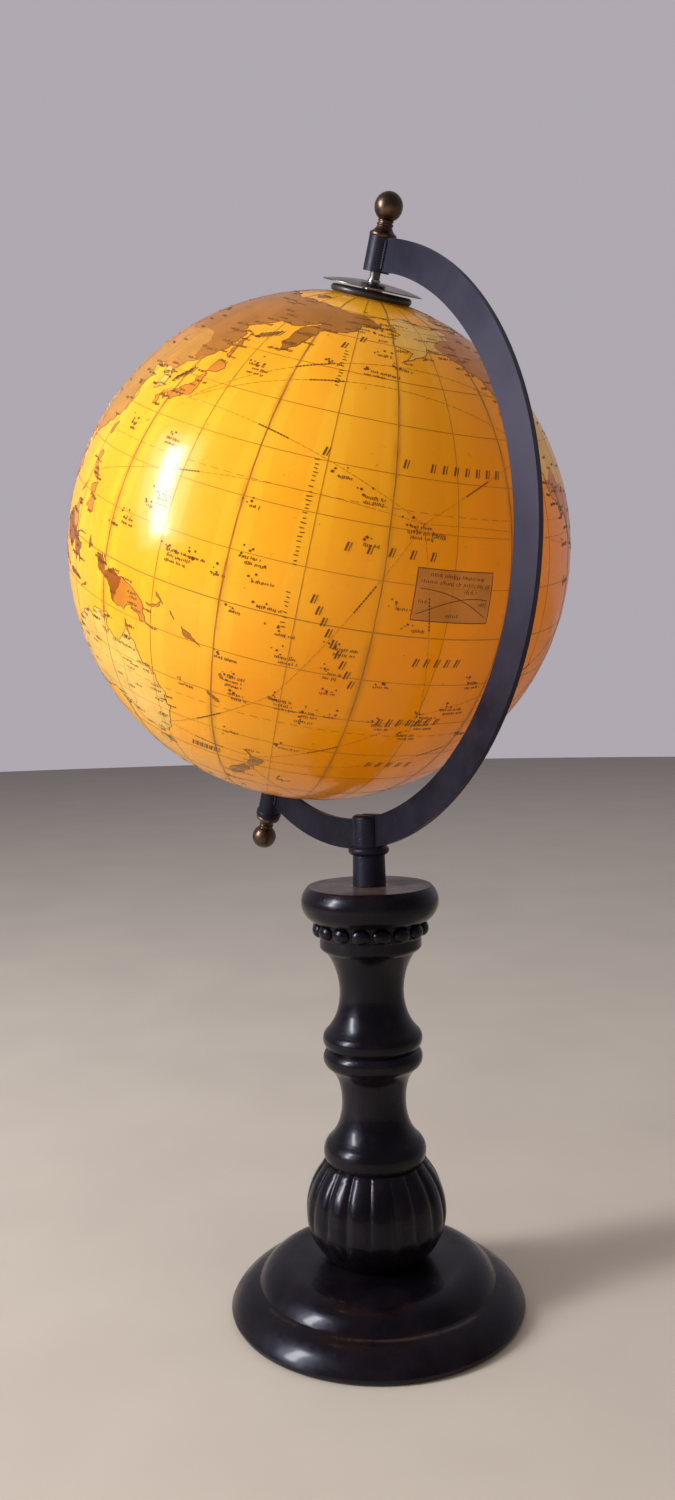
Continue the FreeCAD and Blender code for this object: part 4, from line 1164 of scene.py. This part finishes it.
def build_panel(ink, chance):
    """A tinted panel of small print over two crossing curves."""
    panel = Print()
    across, high = PANEL_CELLS
    ways = [panel_spot(x / across, y / high) for y in range(high + 1) for x in range(across + 1)]
    cells = [(k, k + 1, k + across + 2, k + across + 1)
             for y in range(high) for k in range(y * (across + 1), y * (across + 1) + across)]
    panel.patch(ways, cells, LAND_TOP)
    corners = [(0, 0), (1, 0), (1, 1), (0, 1)]
    rim = []
    for (x0, y0), (x1, y1) in zip(corners, corners[1:] + corners[:1]):
        rim.extend(panel_spot(x0 + (x1 - x0) * k / 10, y0 + (y1 - y0) * k / 10) for k in range(10))
    ink.strip(rim, FRAME_WIDTH, closed=True)
    falling = []
    rising = []
    for k in range(17):
        x = 0.05 + 0.9 * k / 16
        falling.append(panel_spot(x, 0.62 - 0.5 * (k / 16) ** 2))
        rising.append(panel_spot(x, 0.12 + 0.36 * math.sin(math.pi * k / 16 * 0.62)))
    for curve in (falling, rising):
        ink.strip(curve, CURVE_WIDTH)
    for x, y, length in PANEL_ROWS:
        way = panel_spot(x, y)
        east, north = local_frame(way)
        write_row(ink, way, east, north, length, chance, 1.8, 1.1, 0.42)
    return panel


def build_map(paints):
    """Everything printed on the ball, layer by layer."""
    chance = random.Random(SEED)
    noise.seed_set(SEED)
    tints = {name: paints[name] for name in LAND_TINTS}
    shores, borders, ink = build_land(tints, chance)
    build_islands(ink, chance)
    build_ocean_rows(ink)
    build_date_line(ink, chance)
    panel = build_panel(ink, chance)
    build_routes(ink).finish("map_shipping_lines", paints["line"])
    shores.finish("map_shores", paints["shore"])
    borders.finish("map_borders", paints["line"])
    ink.finish("map_small_print", paints["ink"])
    panel.finish("map_panel", paints["salmon"])
    build_graticule().finish("map_graticule", paints["line"])
    build_seams(chance).finish("map_gore_seams", paints["seam"])


# ---------------------------------------------------------------- small metalwork

SLEEVE_RADIUS = 7.5 * MM
BAR_HALF = 1.5 * MM
# Where the flat bar lies against each sleeve, as distances along the axle from the ball's centre.
WELD_RUNS = [(166.2 * MM, 183.0 * MM), (-172.2 * MM, -155.2 * MM)]
WELD_SIZE = 1.0 * MM
WELD_RIPPLE = 1.4 * MM
WELD_SIDES = 10
NECK_RADIUS = 4.0 * MM
# Thin rings turned on the necks of the ball nuts: distance from the ball's centre, and thickness.
NECK_RINGS = [(190.0 * MM, 0.75 * MM), (191.9 * MM, 0.50 * MM)]
RING_STEPS = 40
RING_SIDES = 10


def on_axle(along, out=0.0, aside=0.0):
    """A place given by its distance along the axle, out towards the half ring, and across."""
    return BALL_CENTRE + NORTH * along + OUTWARD * out + SIDEWAYS * aside


def build_welds(paint):
    """Rippled weld beads between the flat bar and the sleeves, one on each face of the bar."""
    corners = []
    faces = []
    turns = [2 * math.pi * k / WELD_SIDES for k in range(WELD_SIDES)]
    reach = math.sqrt(SLEEVE_RADIUS ** 2 - BAR_HALF ** 2)
    for low, high in WELD_RUNS:
        for side in (-1, 1):
            steps = round(6 * (high - low) / WELD_RIPPLE)
            rings = []
            for k in range(steps + 1):
                along = low + (high - low) * k / steps
                swell = 1 + 0.25 * abs(math.sin(math.pi * along / WELD_RIPPLE))
                size = WELD_SIZE * swell * min(1.0, 0.35 + 9 * min(k, steps - k) / steps)
                rings.append([on_axle(along, reach + size * math.cos(turn),
                                      side * BAR_HALF + size * math.sin(turn)) for turn in turns])
            add_tube(corners, faces, rings)
    welds = build_mesh("weld_beads", corners, faces, paint, "meridian")


def build_neck_rings(paint):
    """Two thin rings round the neck of each ball nut."""
    corners = []
    faces = []
    for end in (-1, 1):
        for distance, thick in NECK_RINGS:
            rings = []
            for k in range(RING_STEPS):
                turn = 2 * math.pi * k / RING_STEPS
                ring = []
                for j in range(RING_SIDES):
                    roll = 2 * math.pi * j / RING_SIDES
                    out = NECK_RADIUS + thick * math.cos(roll)
                    along = distance + thick * math.sin(roll)
                    ring.append(on_axle(end * along, out * math.cos(turn), -end * out * math.sin(turn)))
                rings.append(ring)
            add_tube(corners, faces, rings, closed=True)
    rings = build_mesh("neck_rings", corners, faces, paint, "meridian")


# ---------------------------------------------------------------- finishes

VARNISH = {
    "Coat_Weight": 0.42,
    "Coat_Roughness": 0.12,
    "Coat_IOR": 1.47,
    "IOR": 1.45,
    "Specular_IOR_Level": 0.10,
}
SEA_LIGHT = (0.87, 0.44, 0.008)
SEA = (0.84, 0.365, 0.004)
SEA_DEEP = (0.83, 0.260, 0.002)
# Paler, yellower sea painted on the side towards the light: painted light.
SEA_PAINTED_LIGHT = (0.85, 0.445, 0.030)
SEAM_BROWN = (0.30, 0.115, 0.015)
# The side of the ball that faces the light: the sea is painted paler and yellower towards it as painted
# light, and deeper orange away from it as painted shade.
PAINTED_LIGHT_SIDE = Vector((-0.22, -0.86, 0.46))
# Where the lacquer is rubbed away: the flat top of the cap, and the step round the foot.
CAP_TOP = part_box("cap_disc")[1].z
CAP_EDGE = 36.0 * MM
BASE_STEP_LEVEL = 17.4 * MM
BASE_STEP_RADIUS = 72.2 * MM
LACQUER_DARK = (0.0024, 0.0018, 0.0034)
LACQUER_LIGHT = (0.0066, 0.0046, 0.0070)
LACQUER_WORN = (0.017, 0.013, 0.013)
LACQUER_RUBBED = (0.085, 0.062, 0.054)
LACQUER_CHIPPED = (0.026, 0.019, 0.015)
STEEL_DARK = (0.0035, 0.0032, 0.0085)
STEEL_LIGHT = (0.0095, 0.0088, 0.0190)
# Lighter bluish grey painted where a sheen would fall: painted sheen.
STEEL_PAINTED_SHEEN = (0.042, 0.042, 0.070)
STEEL_SCUFFED = (0.045, 0.042, 0.055)
# Height at which the painted sheen on the steel is strongest.
PAINTED_SHEEN_LEVEL = BALL_CENTRE.z + 0.35 * BALL_RADIUS


def printed(name, colour, spread=0.10, gloss=0.26):
    """Varnished print: one ink colour with slight mottling under a gloss coat."""
    paint = Finish(name, **VARNISH)
    dark = tuple(c * (1 - spread) for c in colour)
    light = tuple(min(1.0, c * (1 + spread)) for c in colour)
    paint.colour(paint.mix(paint.window(paint.cloud(70, 5), 0.3, 0.7), dark, light))
    paint.roughness(paint.window(paint.cloud(25), 0.3, 0.7, gloss, gloss + 0.12))
    return paint.material


def ball_paint():
    """Amber sea: printed gores of slightly different yellow, browned along their edges, with painted light
    making it paler on the side towards the light and painted shade making it deeper orange on the side away
    from it.
    """
    paint = Finish("ball_paint", **VARNISH)
    offset = paint.add("VectorMath", operation="SUBTRACT")
    paint.feed(offset, 0, paint.place)
    paint.feed(offset, 1, BALL_CENTRE)
    place = offset.outputs[0]
    angle = paint.maths("ARCTAN2", paint.along(place, SIDEWAYS), paint.along(place, OUTWARD))
    gore_turns = paint.maths("ADD", paint.maths("MULTIPLY", angle, GORES / (2 * math.pi)),
                             (BOW_LONGITUDE + 360 - FIRST_GORE) * GORES / 360)
    gore = paint.maths("FLOOR", gore_turns)
    across = paint.maths("SUBTRACT", gore_turns, gore)
    pick = paint.add("TexWhiteNoise", noise_dimensions="1D")
    paint.feed(pick, "W", gore)
    edge = paint.maths("MINIMUM", across, paint.maths("SUBTRACT", 1.0, across))
    stripe = paint.maths("PINGPONG", paint.maths("MULTIPLY", across, 4.0), 1.0)
    base = paint.mix(paint.maths("MULTIPLY", pick.outputs["Value"], 0.55), SEA_LIGHT, SEA)
    # Painted light and shade: the sea is deeper orange on the side away from the light and paler yellow on
    # the side towards it.
    painted_light_and_shade = paint.window(paint.along(place, PAINTED_LIGHT_SIDE), -0.8 * BALL_RADIUS, 0.8 * BALL_RADIUS)
    base = paint.mix(painted_light_and_shade, SEA_DEEP, base)
    base = paint.mix(paint.window(painted_light_and_shade, 0.35, 1.0, 0.0, 0.85), base, SEA_PAINTED_LIGHT)
    base = paint.mix(paint.window(stripe, 0.42, 0.5, 0.0, 0.20), base, SEA_DEEP)
    base = paint.mix(paint.window(paint.cloud(9, 6), 0.42, 0.72, 0.0, 0.55), base, SEA_DEEP)
    fibres = paint.cloud(1.0, 6, 0.7, paint.stretched((420, 420, 90)))
    base = paint.mix(paint.window(fibres, 0.55, 0.75, 0.0, 0.16), base, SEA_DEEP)
    browned = paint.window(edge, 0.0, 0.055, 0.42, 0.0)
    broken = paint.window(paint.cloud(38, 6), 0.38, 0.62, 0.25, 1.0)
    base = paint.mix(paint.maths("MULTIPLY", browned, broken), base, SEAM_BROWN)
    specks = paint.window(paint.cloud(260, 2), 0.72, 0.76, 0.0, 0.5)
    paint.colour(paint.mix(specks, base, SEAM_BROWN))
    paint.roughness(paint.window(paint.cloud(25), 0.3, 0.7, 0.22, 0.34))
    paint.bump(paint.cloud(140, 3), 0.02 * MM)
    return paint.material


def lacquer():
    """Black lacquer over turned wood, brushed round the column and worn on the cap and the step."""
    paint = Finish("lacquer", Coat_Weight=0.20, Coat_Roughness=0.11, Coat_IOR=1.5, IOR=1.5,
                   Specular_IOR_Level=0.15, Specular_Tint=(0.64, 0.68, 1.0, 1.0))
    brush = paint.cloud(1.0, 5, 0.6, paint.lathe(55, 1500))
    smudge = paint.cloud(38, 5)
    base = paint.mix(paint.window(smudge, 0.35, 0.7), LACQUER_DARK, LACQUER_LIGHT)
    worn_spots = paint.window(paint.cloud(150, 6, 0.7), 0.66, 0.73, 0.0, 0.35)
    base = paint.mix(worn_spots, base, LACQUER_WORN)
    height = paint.axis("Z")
    radius = paint.axis_distance()
    on_top = paint.maths("MULTIPLY", paint.window(height, CAP_TOP - 0.6 * MM, CAP_TOP - 0.2 * MM),
                         paint.window(radius, CAP_EDGE - 1.2 * MM, CAP_EDGE, 1.0, 0.0))
    rubbed = paint.maths("MULTIPLY", on_top, paint.window(paint.cloud(60, 6), 0.3, 0.6, 0.35, 0.9))
    base = paint.mix(rubbed, base, LACQUER_RUBBED)
    off_level = paint.maths("ABSOLUTE", paint.maths("SUBTRACT", height, BASE_STEP_LEVEL))
    near_edge = paint.window(radius, BASE_STEP_RADIUS - 0.4 * MM, BASE_STEP_RADIUS + 0.4 * MM)
    at_step = paint.maths("MULTIPLY", paint.window(off_level, 0.1 * MM, 0.6 * MM, 1.0, 0.0), near_edge)
    chipped = paint.maths("MULTIPLY", at_step, paint.window(paint.cloud(22, 5, 0.75), 0.50, 0.66))
    paint.colour(paint.mix(chipped, base, LACQUER_CHIPPED))
    patchy = paint.window(paint.cloud(45, 6), 0.35, 0.7, 0.17, 0.35)
    paint.roughness(paint.maths("ADD", patchy, paint.maths("MULTIPLY", rubbed, 0.2)))
    grain = paint.cloud(1.0, 6, 0.6, paint.stretched((260, 260, 40)))
    brushed = paint.maths("MULTIPLY", brush, 0.7)
    paint.bump(paint.maths("ADD", brushed, paint.maths("MULTIPLY", grain, 0.3)), 0.28 * MM, 0.7)
    return paint.material


def blackened_steel(name, turned=False):
    """Satin blue-black paint on steel with a painted sheen half way up, smudged, scuffed and perhaps turned.
    """
    paint = Finish(name, IOR=1.5, Specular_IOR_Level=0.22, Specular_Tint=(0.74, 0.76, 1.0, 1.0))
    smudge = paint.cloud(60, 6, 0.6)
    base = paint.mix(paint.window(smudge, 0.35, 0.7), STEEL_DARK, STEEL_LIGHT)
    # Painted sheen: the steel is painted a lighter bluish grey in a band that peaks just above the ball's
    # middle.
    height = paint.axis("Z")
    below = paint.window(height, PAINTED_SHEEN_LEVEL - 1.2 * BALL_RADIUS, PAINTED_SHEEN_LEVEL)
    above = paint.window(height, PAINTED_SHEEN_LEVEL, PAINTED_SHEEN_LEVEL + 0.8 * BALL_RADIUS, 0.85, 0.1)
    base = paint.mix(paint.maths("MULTIPLY", below, above), base, STEEL_PAINTED_SHEEN)
    streaks = paint.cloud(1.0, 5, 0.65, paint.stretched((420, 420, 160)))
    scuffs = paint.window(streaks, 0.66, 0.76, 0.0, 0.5)
    paint.colour(paint.mix(scuffs, base, STEEL_SCUFFED))
    paint.roughness(paint.window(paint.cloud(34, 5), 0.3, 0.7, 0.30, 0.50))
    if turned:
        paint.bump(paint.cloud(1.0, 3, 0.6, paint.lathe(4, 1400)), 0.25 * MM, 0.8)
    else:
        paint.bump(paint.cloud(300, 4), 0.03 * MM, 0.5)
    return paint.material


def metal(name, dark, light, rough, scale, relief_mm=0.02):
    """Bare or patinated metal: two tones mottled together."""
    paint = Finish(name, Metallic=1.0)
    mottle = paint.cloud(scale, 6, 0.6)
    paint.colour(paint.mix(paint.window(mottle, 0.35, 0.68), dark, light))
    paint.roughness(paint.window(paint.cloud(scale * 2.3, 5), 0.3, 0.7, rough, rough + 0.18))
    paint.bump(paint.cloud(scale * 4, 3), relief_mm * MM, 0.5)
    return paint.material


def felt():
    """Green baize, fuzzy and slightly uneven in colour."""
    paint = Finish("felt", Roughness=0.95, Sheen_Weight=0.6, Sheen_Roughness=0.4)
    fuzz = paint.cloud(1600, 4, 0.8)
    paint.colour(paint.mix(fuzz, (0.010, 0.055, 0.026), (0.030, 0.12, 0.060)))
    paint.bump(fuzz, 0.3 * MM)
    return paint.material


def plain(name, dark, light, rough, scale):
    """A dull painted, moulded or paper surface with mild mottling."""
    paint = Finish(name, IOR=1.48)
    paint.colour(paint.mix(paint.window(paint.cloud(scale, 6), 0.3, 0.7), dark, light))
    paint.roughness(paint.window(paint.cloud(scale * 2, 4), 0.3, 0.7, rough, rough + 0.12))
    paint.bump(paint.cloud(scale * 6, 3), 0.03 * MM, 0.5)
    return paint.material


def repaint(paint, *names):
    """Give CAD nodes a finish."""
    for name in names:
        node = frame["nodes"][name]
        node.data.materials.clear()
        node.data.materials.append(paint)


# ---------------------------------------------------------------- the scene

# Colours of the surroundings, then of the printed inks.
SURROUNDINGS = (0.43, 0.395, 0.44)
INKS = {
    "ochre": (0.36, 0.135, 0.014),
    "brown": (0.30, 0.085, 0.010),
    "orange": (0.56, 0.20, 0.020),
    "tan": (0.48, 0.22, 0.030),
    "salmon": (0.52, 0.20, 0.035),
    "cream": (0.74, 0.44, 0.090),
    "shore": (0.20, 0.085, 0.018),
    "line": (0.42, 0.17, 0.015),
    "ink": (0.130, 0.052, 0.012),
}
SEAM_INK = (0.36, 0.15, 0.030)

add_camera()
add_floor(plain("floor_paper", (0.47, 0.425, 0.375), (0.50, 0.455, 0.40), 0.6, 6))
set_world(SURROUNDINGS, 0.30, 0.80)
add_softbox("window", Vector((-0.37, -1.60, 1.06)), BALL_CENTRE, 0.75, 1.20, 12, (1.0, 0.98, 0.97))
add_softbox("window_gap", Vector((-0.36, -1.56, 1.03)), BALL_CENTRE, 0.28, 0.90, 32,
            (1.0, 0.99, 0.98))
add_softbox("ceiling", Vector((0.2, -0.2, 3.2)), Vector((0.2, -0.19, 0)), 6.5, 6.5, 66,
            (1.0, 0.98, 0.96), mirrored=False)
add_softbox("warm_fill", Vector((1.9, 1.0, 0.25)), BALL_CENTRE, 3.2, 2.0, 13,
            (1.0, 0.62, 0.36), mirrored=False)
add_softbox("table_bounce", Vector((1.2, -0.7, 0.22)), BALL_CENTRE, 1.6, 0.4, 5.0,
            (1.0, 0.78, 0.44), mirrored=False)
bpy.context.scene.view_settings.view_transform = "Standard"

wood = lacquer()
repaint(wood, "base_disc", "lower_spindle", "upper_spindle", "beaded_collar", "cap_disc")
build_bulb(wood)

bar_steel = blackened_steel("blackened_bar")
repaint(bar_steel, "meridian_arc", "north_sleeve", "south_sleeve")
build_welds(bar_steel)
repaint(blackened_steel("blackened_post", turned=True), "stem_post")

brass = metal("antique_brass", (0.090, 0.057, 0.042), (0.145, 0.094, 0.070), 0.28, 70, 0.01)
repaint(brass, "axle_finials")
build_neck_rings(brass)

bush_brass = metal("bush_brass", (0.45, 0.30, 0.12), (0.62, 0.45, 0.2), 0.3, 300)
repaint(bush_brass, "pole_bushes", "stem_bush", "thrust_washer")
nickel = metal("bright_nickel", (0.26, 0.232, 0.205), (0.38, 0.345, 0.31), 0.14, 30, 0.0)
repaint(nickel, "hour_dial")
bare_steel = metal("plain_steel", (0.10, 0.095, 0.095), (0.20, 0.195, 0.19), 0.34, 200)
repaint(bare_steel, "axle_rod", "tie_rod", "tie_rod_nuts", "tie_rod_washers")
black_plastic = plain("cap_plastic", (0.012, 0.012, 0.014), (0.028, 0.027, 0.030), 0.32, 150)
repaint(black_plastic, "north_pole_cap")
repaint(plain("seam_card", (0.36, 0.27, 0.17), (0.48, 0.37, 0.24), 0.85, 120), "seam_ring")
repaint(felt(), "base_felt")

repaint(ball_paint(), "north_hemisphere", "south_hemisphere")
inks = {name: printed("map_" + name, colour) for name, colour in INKS.items()}
inks["seam"] = printed("map_seam", SEAM_INK, 0.3)
build_map(inks)
